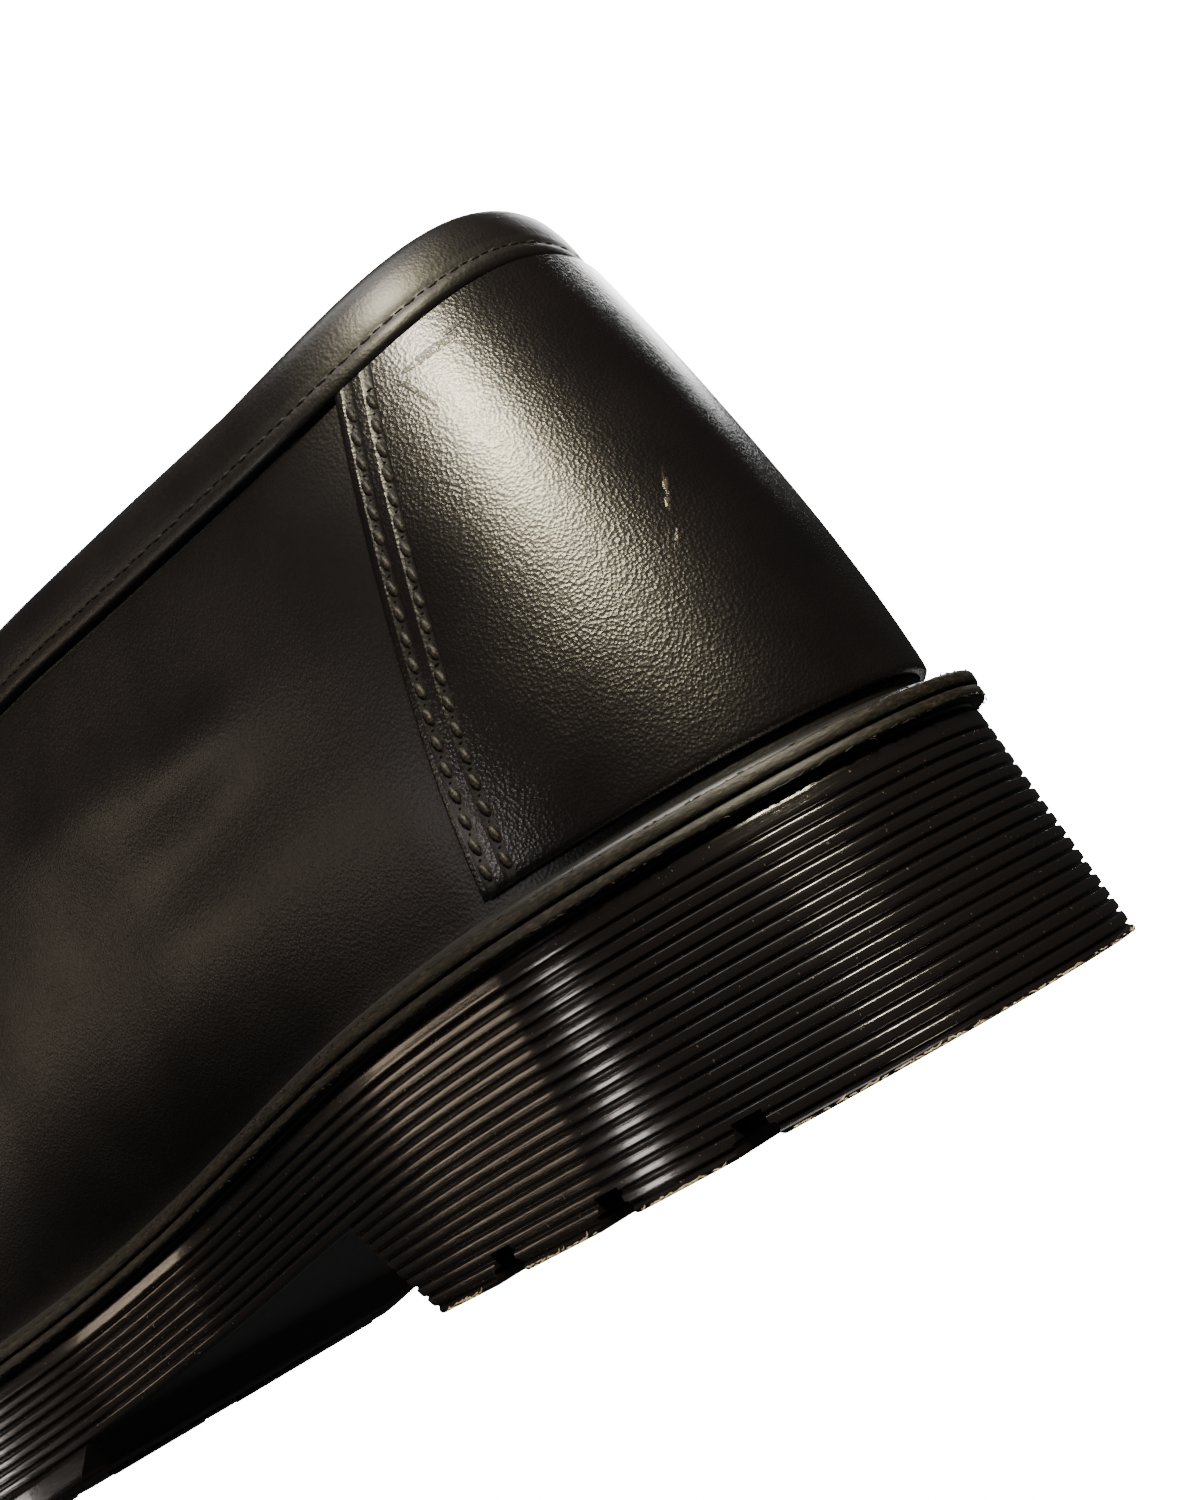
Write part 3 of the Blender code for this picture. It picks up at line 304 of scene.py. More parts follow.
def half_plan(side, steps):
    """One side of the sole's plan, from the back of the heel to just before the toe's tip."""
    column = 1 if side > 0 else 2
    back, out = quarter(steps[0], HEEL_ROUND)
    heel = np.stack([HEEL_CENTRE * (1 - back), side * HEEL_HALF_WIDTH * out], 1)
    xs = np.linspace(HEEL_CENTRE, TOE_START, steps[1] + 1)[:-1]
    flank = np.stack([xs, read(SOLE_SIDES, xs, column)], 1)
    out, ahead = quarter(steps[2], TOE_ROUND)
    half = read(SOLE_SIDES, TOE_START, column) - TOE_Y
    toe = np.stack([TOE_START + (SOLE_LENGTH - TOE_START) * ahead, TOE_Y + half * out], 1)
    return np.concatenate([heel, flank, toe])


def sole_plan(steps):
    """The closed plan and its outward normals: back of the heel, medial side, toe, lateral side."""
    medial, lateral = half_plan(1, steps), half_plan(-1, steps)
    plan = np.concatenate([medial, [[SOLE_LENGTH, TOE_Y]], lateral[:0:-1]])
    ahead = np.roll(plan, -1, 0) - np.roll(plan, 1, 0)
    normal = np.stack([-ahead[:, 1], ahead[:, 0]], 1)
    return plan, normal / np.linalg.norm(normal, axis=1)[:, None]


def wall_inset(depth, x):
    """How far the ribbed side stands in from the lip, at a depth below the top of the welt."""
    down = np.clip((depth - FIRST_GROOVE) / (HEEL_HEIGHT - FIRST_GROOVE), 0, 1)
    heel = np.clip((FLARE_START - x) / (FLARE_START - FLARE_FULL), 0, 1)
    return SIDE_INSET - HEEL_FLARE * down * heel - WAIST_FLARE * down * (1 - heel)


PLAN, OUTWARD = sole_plan(SOLE_STEPS)
ALONG = PLAN[:, 0]
TOPS = read(SOLE_TOP, ALONG)
# where the shoe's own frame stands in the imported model
HEEL_BACK = cad_high.x / MM - SOLE_LENGTH
CENTRE_LINE = cad_high.y / MM - float(PLAN[:, 1].max())


def placed(point):
    """A point of the shoe's own frame in the model's metres."""
    return Vector(((point[0] + HEEL_BACK) * MM, (point[1] + CENTRE_LINE) * MM, point[2] * MM))


def set_in(inset):
    """The plan, standing in from the lip."""
    return PLAN - OUTWARD * np.reshape(inset, (-1, 1))


def waviness(points, size, seed):
    """A smooth random value from -1 to 1 at each point, with waves of about a size."""
    return np.array([noise.noise(Vector(tuple(p)) / size + Vector((seed, 0, 0))) for p in points])


# ---- meshes
def move_to(ring, row):
    """Put the vertices of a ring on a row of points."""
    for vertex, point in zip(ring, row):
        vertex.co = placed(point)


def extruded(rows, painted=(), across=None):
    """A tube made by extruding a ring of edges from row to row.

    Painted holds (first row, last row, number of the finish). With across, a value for each
    row, the map holds the way round the tube and that value, both in millimetres.
    """
    work = bmesh.new()
    ring = bmesh.ops.create_circle(work, segments=len(rows[0]), radius=1.0)["verts"]
    edges = work.edges[:]
    move_to(ring, rows[0])
    places = {v: (i, 0) for i, v in enumerate(ring)}
    for number, row in enumerate(rows[1:]):
        made = bmesh.ops.extrude_edge_only(work, edges=edges)["geom"]
        fresh = {v for v in made if isinstance(v, BMVert)}
        edges = [e for e in made if isinstance(e, BMEdge) and fresh.issuperset(e.verts)]
        finish = next((f for start, end, f in painted if start <= number < end), 0)
        for face in (f for f in made if isinstance(f, BMFace)):
            face.material_index = finish
        ring = [next(e.other_vert(v) for e in v.link_edges if e.other_vert(v) in fresh) for v in ring]
        move_to(ring, row)
        places.update((v, (i, number + 1)) for i, v in enumerate(ring))
    if across is not None:
        unroll(work, places, rows, across)
    return work


def unroll(work, places, rows, across):
    """Lay a tube's map out flat, in millimetres."""
    layer = work.loops.layers.uv.new("way")
    count = len(rows[0])
    way = way_along(closed(rows[len(rows) // 2]))
    for face in work.faces:
        columns = [places[loop.vert][0] for loop in face.loops]
        wraps = max(columns) - min(columns) > count / 2
        for loop, column in zip(face.loops, columns):
            past = count if wraps and column == 0 else column
            loop[layer].uv = (way[past], across[places[loop.vert][1]])


def mesh_of(work, name):
    """Turn a bmesh into a mesh."""
    mesh = bpy.data.meshes.new(name)
    work.to_mesh(mesh)
    work.free()
    return mesh


def linked(name, data):
    """A new object in the scene."""
    made = bpy.data.objects.new(name, data)
    bpy.context.scene.collection.objects.link(made)
    return made


def finished(name, work, finishes, sharp=50, merge=0.002):
    """Turn a bmesh into a piece that rides on the shoe."""
    bmesh.ops.remove_doubles(work, verts=work.verts, dist=merge * MM)
    bmesh.ops.dissolve_degenerate(work, edges=work.edges, dist=0.0005 * MM)
    bmesh.ops.recalc_face_normals(work, faces=work.faces)
    mesh = mesh_of(work, name)
    mesh.shade_smooth()
    mesh.set_sharp_from_angle(angle=math.radians(sharp))
    for finish in finishes:
        mesh.materials.append(finish)
    piece = linked(name, mesh)
    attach(piece, "root")
    return piece


def to_spine(row, shares):
    """Rows that close a ring onto the middle line between its two sides."""
    opposite = row[(-np.arange(len(row))) % len(row)]
    spine = row.copy()
    spine[:, 1:] = (row[:, 1:] + opposite[:, 1:]) / 2
    return [row + (spine - row) * share for share in shares]


def joined(whole, part):
    """Add one bmesh to another and free it."""
    mesh = mesh_of(part, "part")
    whole.from_mesh(mesh)
    bpy.data.meshes.remove(mesh)


def cut_with(work, cutter):
    """A bmesh less another closed one."""
    for shape in (work, cutter):
        bmesh.ops.recalc_face_normals(shape, faces=shape.faces)
    things = [linked("block", mesh_of(work, "block")), linked("cutter", mesh_of(cutter, "cutter"))]
    step = things[0].modifiers.new("cut", "BOOLEAN")
    step.operation = "DIFFERENCE"
    step.object = things[1]
    step.solver = "EXACT"
    graph = bpy.context.evaluated_depsgraph_get()
    result = bpy.data.meshes.new_from_object(things[0].evaluated_get(graph))
    shape = bmesh.new()
    shape.from_mesh(result)
    bpy.data.batch_remove([*things, *(thing.data for thing in things), result])
    return shape


# ---- sole
def side_row(depth, inset):
    """One ring of the sole's side."""
    return np.column_stack([set_in(inset), TOPS - depth])


def rib_depths(first, count):
    """Depth below the top and share of the groove's depth, from groove to groove."""
    found = [(first + (k + down) * PITCH, cut) for k in range(count) for down, cut in RIB]
    return found + [(first + count * PITCH, 1.0)]


def sole_layer(side_rubber, waist_rubber, trimmed):
    """The long layer: trimmed lip, smooth hollow band, the ribs that run all the way round."""
    rough = LIP_ROUGH * waviness(np.column_stack([PLAN, TOPS]), 2.3, 3.0)
    rows = [side_row(depth, inset + (rough if inset < 0.3 else 0.0)) for depth, inset in LIP_SECTION]
    for depth, cut in rib_depths(FIRST_GROOVE, LONG_GROOVES):
        rows.append(side_row(depth, wall_inset(depth, ALONG) + GROOVE_DEPTH * cut))
    rows.append(side_row(LAYER_BOTTOM, wall_inset(LAYER_BOTTOM, ALONG) + GROOVE_DEPTH + 0.5))
    top = to_spine(rows[0], (1.0, 0.6, 0.1))
    under = to_spine(rows[-1], (0.15, 0.4, 0.7, 1.0))
    end = len(top) + len(rows)
    work = extruded(top + rows + under, ((end - 1, end + len(under), 1), (0, len(top) + 4, 2)))
    return finished("sole_layer", work, (side_rubber, waist_rubber, trimmed))


def end_slab(rows, cut_x, cut_normal):
    """A block under one end of the sole: rings, closed at both ends, cut off by a slanted plane."""
    work = extruded(rows)
    bmesh.ops.holes_fill(work, edges=work.edges, sides=0)
    cut = bmesh.ops.bisect_plane(work, geom=work.verts[:] + work.edges[:] + work.faces[:],
                                 plane_co=placed((cut_x, 0, 0)), plane_no=cut_normal,
                                 clear_outer=True)
    bmesh.ops.contextual_create(work, geom=[e for e in cut["geom_cut"] if isinstance(e, BMEdge)])
    return work


def rounded(loop):
    """A closed outline with its corners rounded; points that lie nearly in line are kept."""
    points = [np.array(p, float) for p in loop]
    made = []
    for before, corner, after in zip(points[-1:] + points[:-1], points, points[1:] + points[:1]):
        into, out = before - corner, after - corner
        reach_in, reach_out = np.linalg.norm(into), np.linalg.norm(out)
        into, out = into / reach_in, out / reach_out
        half = math.acos(float(np.clip(into @ out, -1, 1))) / 2
        reach = min(CORNER / max(math.tan(half), 0.05), 0.45 * reach_in, 0.45 * reach_out)
        start, end = corner + into * reach, corner + out * reach
        made += [(1 - t) ** 2 * start + 2 * t * (1 - t) * corner + t * t * end
                 for t in np.linspace(0, 1, CORNER_POINTS)]
    return made


def recess(rows, first_gap, last_gap, grow):
    """Outline of the hollow round the lugs, and of the free-standing lugs, grown by a width."""
    sides = {1: [], -1: []}
    islands = []
    for start, channels, medial, lateral, is_open in rows:
        low, high = start + grow, start + LUG_WIDTH - grow
        middle = (low + high) / 2
        for side in (1, -1):
            outer = (max(channels) if side > 0 else min(channels)) + side * (CHANNEL_HALF + grow)
            border = (medial if side > 0 else lateral) + side * grow
            gap = side * PAST_SIDE if is_open else border
            point = outer + side * LUG_POINT
            sides[side] += [(low, point), (middle, outer), (high, point)]
            sides[side] += [(high, gap), (start + LUG_PITCH + grow, gap)]
        for near, far in zip(channels[:-1], channels[1:]):
            left, right = near + CHANNEL_HALF + grow, far - CHANNEL_HALF - grow
            islands.append([(low, left + LUG_POINT), (middle, left), (high, left + LUG_POINT),
                            (high, right - LUG_POINT), (middle, right), (low, right - LUG_POINT)])
    return [first_gap(grow) + sides[1] + last_gap(grow) + sides[-1][::-1]] + islands


def hollows(rows, first_gap, last_gap, ground):
    """A closed cutter for the hollows: each outline extruded through the steps of a lug's wall."""
    levels = [[rounded(loop) for loop in recess(rows, first_gap, last_gap, grow)]
              for height, grow in LUG_WALL]
    whole = bmesh.new()
    for loops in zip(*levels):
        rings = [np.array([(*p, ground(p[0]) + height) for p in loop])
                 for loop, (height, grow) in zip(loops, LUG_WALL)]
        joined(whole, extruded(rings))
    open_edges = [e for e in whole.edges if e.is_boundary]
    mouths = [e for e in open_edges if height_over(ground, e.verts[0].co) < TREAD_DEPTH / 2]
    roofs = [e for e in open_edges if e not in set(mouths)]
    for number, edges in ((MOUTH, mouths), (ROOF, roofs)):
        made = bmesh.ops.triangle_fill(whole, use_beauty=True, use_dissolve=False, edges=edges,
                                       normal=(0, 0, 1))["geom"]
        for face in (f for f in made if isinstance(f, BMFace)):
            face.material_index = number
    return whole


def follow_ground(work, heights, ground):
    """Cut the marked level faces across between the lugs and lay them along the ground's curve.

    Heights holds, for each mark, the height of its faces over the ground. The marks are removed.
    """
    for x in np.arange(FOREFOOT_FIRST_LUG - LUG_PITCH - SLICE_BACK, SOLE_LENGTH, LUG_PITCH):
        bmesh.ops.bisect_plane(work, geom=work.verts[:] + work.edges[:] + work.faces[:],
                               plane_co=placed((x, 0, 0)), plane_no=(1, 0, 0))
    for face in work.faces:
        if face.material_index in heights:
            for v in face.verts:
                v.co.z = (ground(v.co.x / MM - HEEL_BACK) + heights[face.material_index]) * MM
        face.material_index = 0


def height_over(ground, point):
    """Height of a point of the model over the ground, in millimetres."""
    return point.z / MM - ground(point.x / MM - HEEL_BACK)


def is_inside(point):
    """True well inside the outline of the sole."""
    x, y = point.x / MM - HEEL_BACK, point.y / MM - CENTRE_LINE
    return np.hypot(ALONG - x, PLAN[:, 1] - y).min() > RIM


def tread(name, block, cutter, finishes, ground):
    """A block with its hollows cut: their lugs' faces, floors and walls take the last finishes."""
    piece = finished(name, cut_with(block, cutter), finishes)
    for face in piece.data.polygons:
        height = height_over(ground, face.center)
        upright = face.normal.z
        if upright < -LEVEL and height < NEAR_GROUND:
            face.material_index = 1
        elif upright < -LEVEL and height > TREAD_DEPTH - NEAR_ROOF:
            face.material_index = 2
        elif (abs(upright) < STEEP or height > 1.0) and 0.02 < height < TREAD_DEPTH:
            if is_inside(face.center):
                face.material_index = 3


def heel_block(finishes):
    """The ribbed block under the heel, with its rows of lugs."""
    chosen = np.arange(-HEEL_REACH, HEEL_REACH + 1)
    scale = (TOPS - LAYER_BOTTOM) / (HEEL_HEIGHT - LAYER_BOTTOM)
    # depth, depth that gives the wall's inset, how much further in
    section = [(LAYER_BOTTOM - 1.0, LAYER_BOTTOM, 1.6)]
    section += [(depth, depth, GROOVE_DEPTH * cut) for depth, cut in rib_depths(LAYER_BOTTOM, HEEL_GROOVES)
                if depth < HEEL_HEIGHT - 0.5]
    section += [(HEEL_HEIGHT - up, HEEL_HEIGHT, more) for up, more in ((0.45, 0.0), (0.12, 0.08), (0.0, 0.3))]
    rows = [np.column_stack([set_in(wall_inset(level, ALONG) + more), (HEEL_HEIGHT - depth) * scale])[chosen]
            for depth, level, more in section]
    block = end_slab(rows, BREAST_AT_FLOOR, (1, 0, -BREAST_LEAN))
    half = CHANNEL_SPACING / 2
    lugs = [(HEEL_FIRST_LUG + k * LUG_PITCH, (-half, half), HEEL_BORDER, -HEEL_BORDER,
             k % 2 == 0 and k < HEEL_LUG_ROWS - 1) for k in range(HEEL_LUG_ROWS)]
    front = [(BREAST_AT_FLOOR + PAST_BREAST, y) for y in (HEEL_BORDER, -HEEL_BORDER)]

    def arc(grow):
        return [(HEEL_ARC - grow + HEEL_ARC_BEND * y * y, y) for y in np.linspace(-20, 20, 9)]

    def ground(x):
        return 0.0

    cutter = hollows(lugs, arc, lambda grow: front, ground)
    for face in cutter.faces:
        face.material_index = 0
    tread("heel_block", block, cutter, finishes, ground)


def forefoot_block(finishes):
    """The tread under the forefoot."""
    centre = len(PLAN) // 2
    chosen = np.arange(centre - FOREFOOT_REACH, centre + FOREFOOT_REACH + 1)
    base = TOPS - LAYER_BOTTOM
    floor = read(TREAD, ALONG)
    inset = wall_inset(LAYER_BOTTOM, ALONG)
    levels = (
        (base + 1.0, 1.6), (base, GROOVE_DEPTH), (base - 0.15, 0.3), (base - 0.4, 0.04), (base - 0.7, 0.0),
        (floor + 1.2, -0.18), (floor + 0.3, -0.2), (floor + 0.08, -0.1), (floor, 0.15),
    )
    rings = [np.column_stack([set_in(inset + more), z])[chosen] for z, more in levels]
    block = end_slab(rings, FOREFOOT_START, (-1, 0, -BREAST_LEAN))
    inner = set_in(FOREFOOT_BORDER)
    places = [TOE_Y / 2 + (j + 0.5) * CHANNEL_SPACING for j in range(-2, 2)]
    lugs = []
    for k in range(FOREFOOT_LUG_ROWS):
        start = FOREFOOT_FIRST_LUG + k * LUG_PITCH
        at = start + LUG_PITCH * 0.75
        medial = float(np.interp(at, inner[:centre, 0], inner[:centre, 1]))
        lateral = float(np.interp(at, inner[:centre:-1, 0], inner[:centre:-1, 1]))
        channels = [c for c in places if lateral + CHANNEL_CLEAR < c < medial - CHANNEL_CLEAR]
        if len(channels) < 2:
            break
        lugs.append((start, channels, medial, lateral, k % 2 == 0))

    def back(grow):
        start = lugs[0][0] - LUG_PITCH + LUG_WIDTH - grow
        return [(start, lugs[0][3] - grow), (start, lugs[0][2] + grow)]

    def ground(x):
        return float(read(TREAD, x))

    for face in block.faces:
        on_ground = all(abs(height_over(ground, v.co)) < 0.2 for v in face.verts)
        if on_ground and len(face.verts) > CLOSING_CORNERS:
            face.material_index = MOUTH
    follow_ground(block, {MOUTH: 0.0}, ground)
    cutter = hollows(lugs, back, lambda grow: [], ground)
    follow_ground(cutter, {MOUTH: LUG_WALL[0][0], ROOF: TREAD_DEPTH}, ground)
    tread("forefoot_block", block, cutter, finishes, ground)


def welt(rubber, trimmed):
    """The strip on the sole's edge: trimmed flat edge, then a rounded bead beside the upper."""
    inner = read(UPPER_SECTIONS, ALONG) - 0.5
    rough = WELT_ROUGH * waviness(np.column_stack([PLAN, TOPS]), 2.0, 9.0)
    wide = np.minimum(inner - 0.5, 2.5)
    section = [(WELT_THICKNESS, inner), (WELT_THICKNESS, 0.2 + rough), (WELT_THICKNESS - 0.2, rough),
               (0.35, rough + 0.02), (0.1, rough + 0.14), (0.02, rough + 0.4), (0.0, inner - wide)]
    section += [(-BEAD * math.sin(angle), inner - wide * math.cos(angle) ** 1.5)
                for angle in np.linspace(0.12, 1.0, 7) * math.pi / 2]
    section.append((-BEAD * 0.9, inner + 0.25))
    rows = [side_row(depth, inset) for depth, inset in section]
    work = extruded(rows + rows[:1], ((0, 5, 1),))
    return finished("welt_strip", work, (rubber, trimmed))


# ---- upper
def collar_half(side, rest):
    """One side of the collar's line: the heel's part by angle, the rest by shares of its length."""
    column = 1 if side > 0 else 2
    back, out = quarter(HEEL_COLUMNS, COLLAR_ROUND)
    wide = side * COLLAR_SIDES[0][1]
    heel = np.stack([HEEL_CENTRE - (HEEL_CENTRE - COLLAR_BACK) * back, wide * out,
                     COLLAR_HEIGHT_BACK + (COLLAR_SIDES[0][3] - COLLAR_HEIGHT_BACK) * out ** 2], 1)
    xs = np.linspace(HEEL_CENTRE, COLLAR_FRONT_START, COLLAR_SAMPLES)[:-1]
    flank = np.stack([xs, read(COLLAR_SIDES, xs, column), read(COLLAR_SIDES, xs, 3)], 1)
    out, ahead = quarter(COLLAR_SAMPLES, THROAT_ROUND, True)
    middle = float(read(RIDGE, COLLAR_FRONT, 1))
    half = float(read(COLLAR_SIDES, COLLAR_FRONT_START, column)) - middle
    xs = COLLAR_FRONT_START + (COLLAR_FRONT - COLLAR_FRONT_START) * ahead
    front = np.stack([xs, middle + half * out, read(COLLAR_SIDES, xs, 3)], 1)
    line = np.concatenate([flank, front])
    run = way_along(line)
    return np.concatenate([heel, point_at(line, run, run[-1] * rest)])


def rise(share, full):
    """Height of a section at a share of the way from its middle to its foot, 1 in the middle."""
    return np.clip(1 - share ** full, 0, 1) ** (1 / full)


class Last:
    """The outside of the upper: columns that run from the welt up to the collar."""

    def __init__(self):
        plan, self.normal = sole_plan(LAST_STEPS)
        x = plan[:, 0]
        self.tip = len(plan) // 2
        is_medial = np.arange(len(plan)) <= self.tip
        self.swell = np.where(is_medial, read(UPPER_SECTIONS, x, 2), read(UPPER_SECTIONS, x, 3))
        self.foot = plan - self.normal * (read(UPPER_SECTIONS, x) - self.swell).reshape(-1, 1)
        self.medial = self.foot[: self.tip + 1]
        self.lateral = self.foot[: self.tip - 1: -1]
        self.top = self.collar()
        columns = [self.column(i) for i in range(len(plan))]
        self.grid = np.array([points for points, length in columns])
        self.length = np.array([length for points, length in columns])
        around = np.roll(self.grid, -1, 0) - np.roll(self.grid, 1, 0)
        out = np.cross(np.gradient(self.grid, axis=1), around)
        self.out = out / np.linalg.norm(out, axis=2)[:, :, None]
        self.columns = np.arange(len(plan), dtype=float)

    def collar(self):
        """Where each column ends on the collar: one to one at the side, then round the throat."""
        run = way_along(self.medial[HEEL_COLUMNS:])
        rest = 1 - (1 - run / run[-1]) ** THROAT_FLOW
        medial, lateral = collar_half(1, rest), collar_half(-1, rest)
        return np.concatenate([medial[: self.tip + 1], lateral[self.tip - 1:0:-1]])

    def edge(self, x, side):
        """The foot line's y at x."""
        line = self.medial if side > 0 else self.lateral
        return np.interp(x, line[:, 0], line[:, 1])

    def crown(self, x, side):
        """Height of the section's crown over the welt: as if the collar were closed, or the ridge."""
        base = read(SOLE_TOP, x)
        curl = np.clip((x - TOE_CURL_START) / (UPPER_TOE - TOE_CURL_START), 0, 1)
        ridge = (read(RIDGE, x, 2) - base) * rise(curl, TOE_CURL)
        line = self.top[HEEL_COLUMNS: self.tip + 1]
        if side < 0:
            line = self.top[self.tip:-HEEL_COLUMNS + 1][::-1]
        middle = read(RIDGE, x, 1)
        y, z = (np.interp(x, line[:, 0], line[:, k]) for k in (1, 2))
        share = np.clip((y - middle) / (self.edge(x, side) - middle), 0, STEEP_SHARE)
        full = read(UPPER_SECTIONS, x, 4)
        return np.where(x < COLLAR_FRONT, (z - base) / rise(share, full), ridge)

    def column(self, i):
        """Points from the foot to the collar at even lengths, and the column's length."""
        foot, top = self.foot[i], self.top[i]
        along = np.linspace(0, 1, COLUMN_SAMPLES) ** CROWDING
        xy = foot + (top[:2] - foot) * along[:, None]
        if min(i, len(self.foot) - i) < HEEL_COLUMNS:
            base, full = read(SOLE_TOP, foot[0]), read(UPPER_SECTIONS, foot[0], 4)
            centre = np.array([HEEL_CENTRE, 0.0])
            share_top = np.linalg.norm(top[:2] - centre) / np.linalg.norm(foot - centre)
            share = 1 - along * (1 - share_top)
            tall = (top[2] - base) / rise(share_top, full)
        else:
            x, y = xy.T
            base, full, middle = read(SOLE_TOP, x), read(UPPER_SECTIONS, x, 4), read(RIDGE, x, 1)
            edge = np.where(y >= middle, self.edge(x, 1), self.edge(x, -1))
            tall = np.where(y >= middle, self.crown(x, 1), self.crown(x, -1))
            share = np.clip(np.abs(y - middle) / np.maximum(np.abs(edge - middle), 1e-6), 0, 1)
        z = base + tall * rise(share, full)
        up = np.clip((z - base - CLEAR_BEAD) / (top[2] - base), 0, 1)
        tuck = self.swell[i] * np.clip(1 - up / TUCK, 0, 1) ** 2
        line = np.column_stack([xy - self.normal[i] * tuck[:, None], z])
        run = way_along(line)
        return point_at(line, run, np.linspace(0, run[-1], LAST_LEVELS)), run[-1]

    def at(self, column, share, offset=0.0):
        """A point at a fractional column and a share of its length, moved out by an offset."""
        count = len(self.grid)
        column = np.asarray(column, float) % count
        share = np.clip(np.asarray(share, float), 0, 1) * (LAST_LEVELS - 1)
        i = np.floor(column).astype(int) % count
        j = np.clip(np.floor(share).astype(int), 0, LAST_LEVELS - 2)
        a, b = (column - np.floor(column))[..., None], (share - j)[..., None]
        k = (i + 1) % count

        def mix(grid):
            return ((1 - a) * ((1 - b) * grid[i, j] + b * grid[i, j + 1])
                    + a * ((1 - b) * grid[k, j] + b * grid[k, j + 1]))

        out = mix(self.out)
        out = out / np.linalg.norm(out, axis=-1)[..., None]
        return mix(self.grid) + out * np.asarray(offset, float)[..., None]

    def reach(self, column):
        """Length of a column at a fractional place."""
        count = len(self.grid)
        return np.interp(np.asarray(column) % count, np.arange(count + 1), closed(self.length))

    def seat(self, column):
        """Share of a column where the band begins."""
        return 1 - (BAND + BAND_GAP) / self.reach(column)

    def apron_share(self, columns):
        """Share of each column where the apron's seam crosses it."""
        run = way_along(self.medial[::-1])
        run = np.interp(np.abs(columns - self.tip), np.arange(len(run)), run)
        return np.where(columns <= self.tip, read(APRON, run, 1), read(APRON, run, 2))


def counter_share(last, columns, level):
    """Share of each column at a level of the counter, 0 at its foot and 1 under the band."""
    foot = COUNTER_FOOT / last.reach(columns)
    return foot + (last.seat(columns) - foot) * level


def seam_column(last, level, side):
    """The column where the counter's front edge crosses a level."""
    columns = side * HEEL_COLUMNS * np.linspace(*SEAM_SEARCH, 60)
    points = last.at(columns, counter_share(last, columns, level))
    ahead = points[:, 0] + COUNTER_SEAM_LEAN * (points[:, 2] - HEEL_HEIGHT) - COUNTER_SEAM_FOOT
    return float(np.interp(0.0, ahead, columns))


def fold(last, columns, share):
    """Depth of the soft folds at a place on the upper."""
    x = last.at(columns, share)[..., 0]
    side = np.where(np.asarray(columns) % len(last.grid) <= last.tip, 1, -1)
    depth = 0.0 * x
    for centre, fold_side, level, half_length, half_width, deep in FOLDS:
        near = np.exp(-((x - centre) / half_length) ** 2 - ((share - level) / half_width) ** 2)
        depth += np.where(side == fold_side, deep * near, 0.0)
    return depth


def surface(last, columns, share, offset):
    """A point on the folded leather, moved out by an offset."""
    return last.at(columns, share, offset - fold(last, columns, share))


def raised(last, columns, share, offset, root=0.0, base=surface):
    """A line over the leather for stitches, and its outward direction at each point."""
    points = base(last, columns, share, offset)
    return points, points - base(last, columns, share, root)


def upper_shell(last, leather, lining):
    """One wall, open at the collar and at the sole, with the apron's raised seam and the folds."""
    columns, length, seat = last.columns, last.length, last.seat(last.columns)
    side = APRON_REACH / length
    line = last.apron_share(columns)
    seam = np.minimum(line, seat - side)
    flush = 0 * columns

    def ridge(share):
        gap = np.clip((share - line) / side, -1, 1)
        tucked = np.clip((seat - share) * length / RIDGE_TUCK[0], RIDGE_TUCK[1], 1)
        return APRON_RIDGE * tucked * (0.5 + 0.5 * np.cos(np.pi * gap)) ** 0.8

    first = CLEAR_BEAD / length
    levels = [(flush, flush), (first * 0.5, flush)]
    levels += [(first + (seam - side - first) * t, flush) for t in np.linspace(0, 1, VAMP_ROWS)[:-1]]
    levels += [(seam + side * t, ridge(seam + side * t)) for t in np.linspace(-1, 1, RIDGE_ROWS)]
    levels += [(seam + side + (seat - seam - side) * t, flush) for t in np.linspace(0, 1, APRON_ROWS)[1:]]
    rows = [surface(last, columns, share, offset) for share, offset in levels]
    inside = [surface(last, columns, share * seat, -WALL) for share in np.linspace(1, 0, LINING_ROWS)]
    for row in (rows[0], inside[-1]):
        row[:, 2] = read(SOLE_TOP, rows[0][:, 0]) - UNDER_WELT
    work = extruded(rows + inside + rows[:1], ((len(rows) - 1, len(rows) + len(inside), 1),))
    return finished("upper_shell", work, (leather, lining), 60)


def collar_fold(last, leather):
    """The folded band round the collar, rounded over its edge, with a channel for its stitches."""
    rows = [last.at(last.columns, 1 - down / last.length, out) for down, out in BAND_SECTION]
    across = [down for down, out in BAND_SECTION]
    work = extruded(rows + rows[:1], across=across + across[:1])
    return finished("collar_fold", work, (leather,), 60)


def counter_places(last, across, levels):
    """Columns and shares of the counter for each level: distances from its front edges."""
    columns, shares = [], []
    for level in levels:
        rough = np.linspace(seam_column(last, level, -1), seam_column(last, level, 1), 90)
        run = way_along(last.at(rough, counter_share(last, rough, level)))
        ways = np.where(across < 0, run[-1] + across, across)
        free = np.isnan(ways)
        near, far = ways[~free & (across >= 0)].max(), ways[~free & (across < 0)].min()
        ways[free] = np.linspace(near, far, int(free.sum()) + 2)[1:-1]
        columns.append(np.interp(ways, run, rough))
        shares.append(counter_share(last, columns[-1], level))
    return np.array(columns), np.array(shares)


def skived(distance):
    """Share of the leather's thickness at a distance from its rounded edge."""
    return np.sqrt(1 - (1 - np.clip(distance / COUNTER_EDGE, 0, 1)) ** 2)


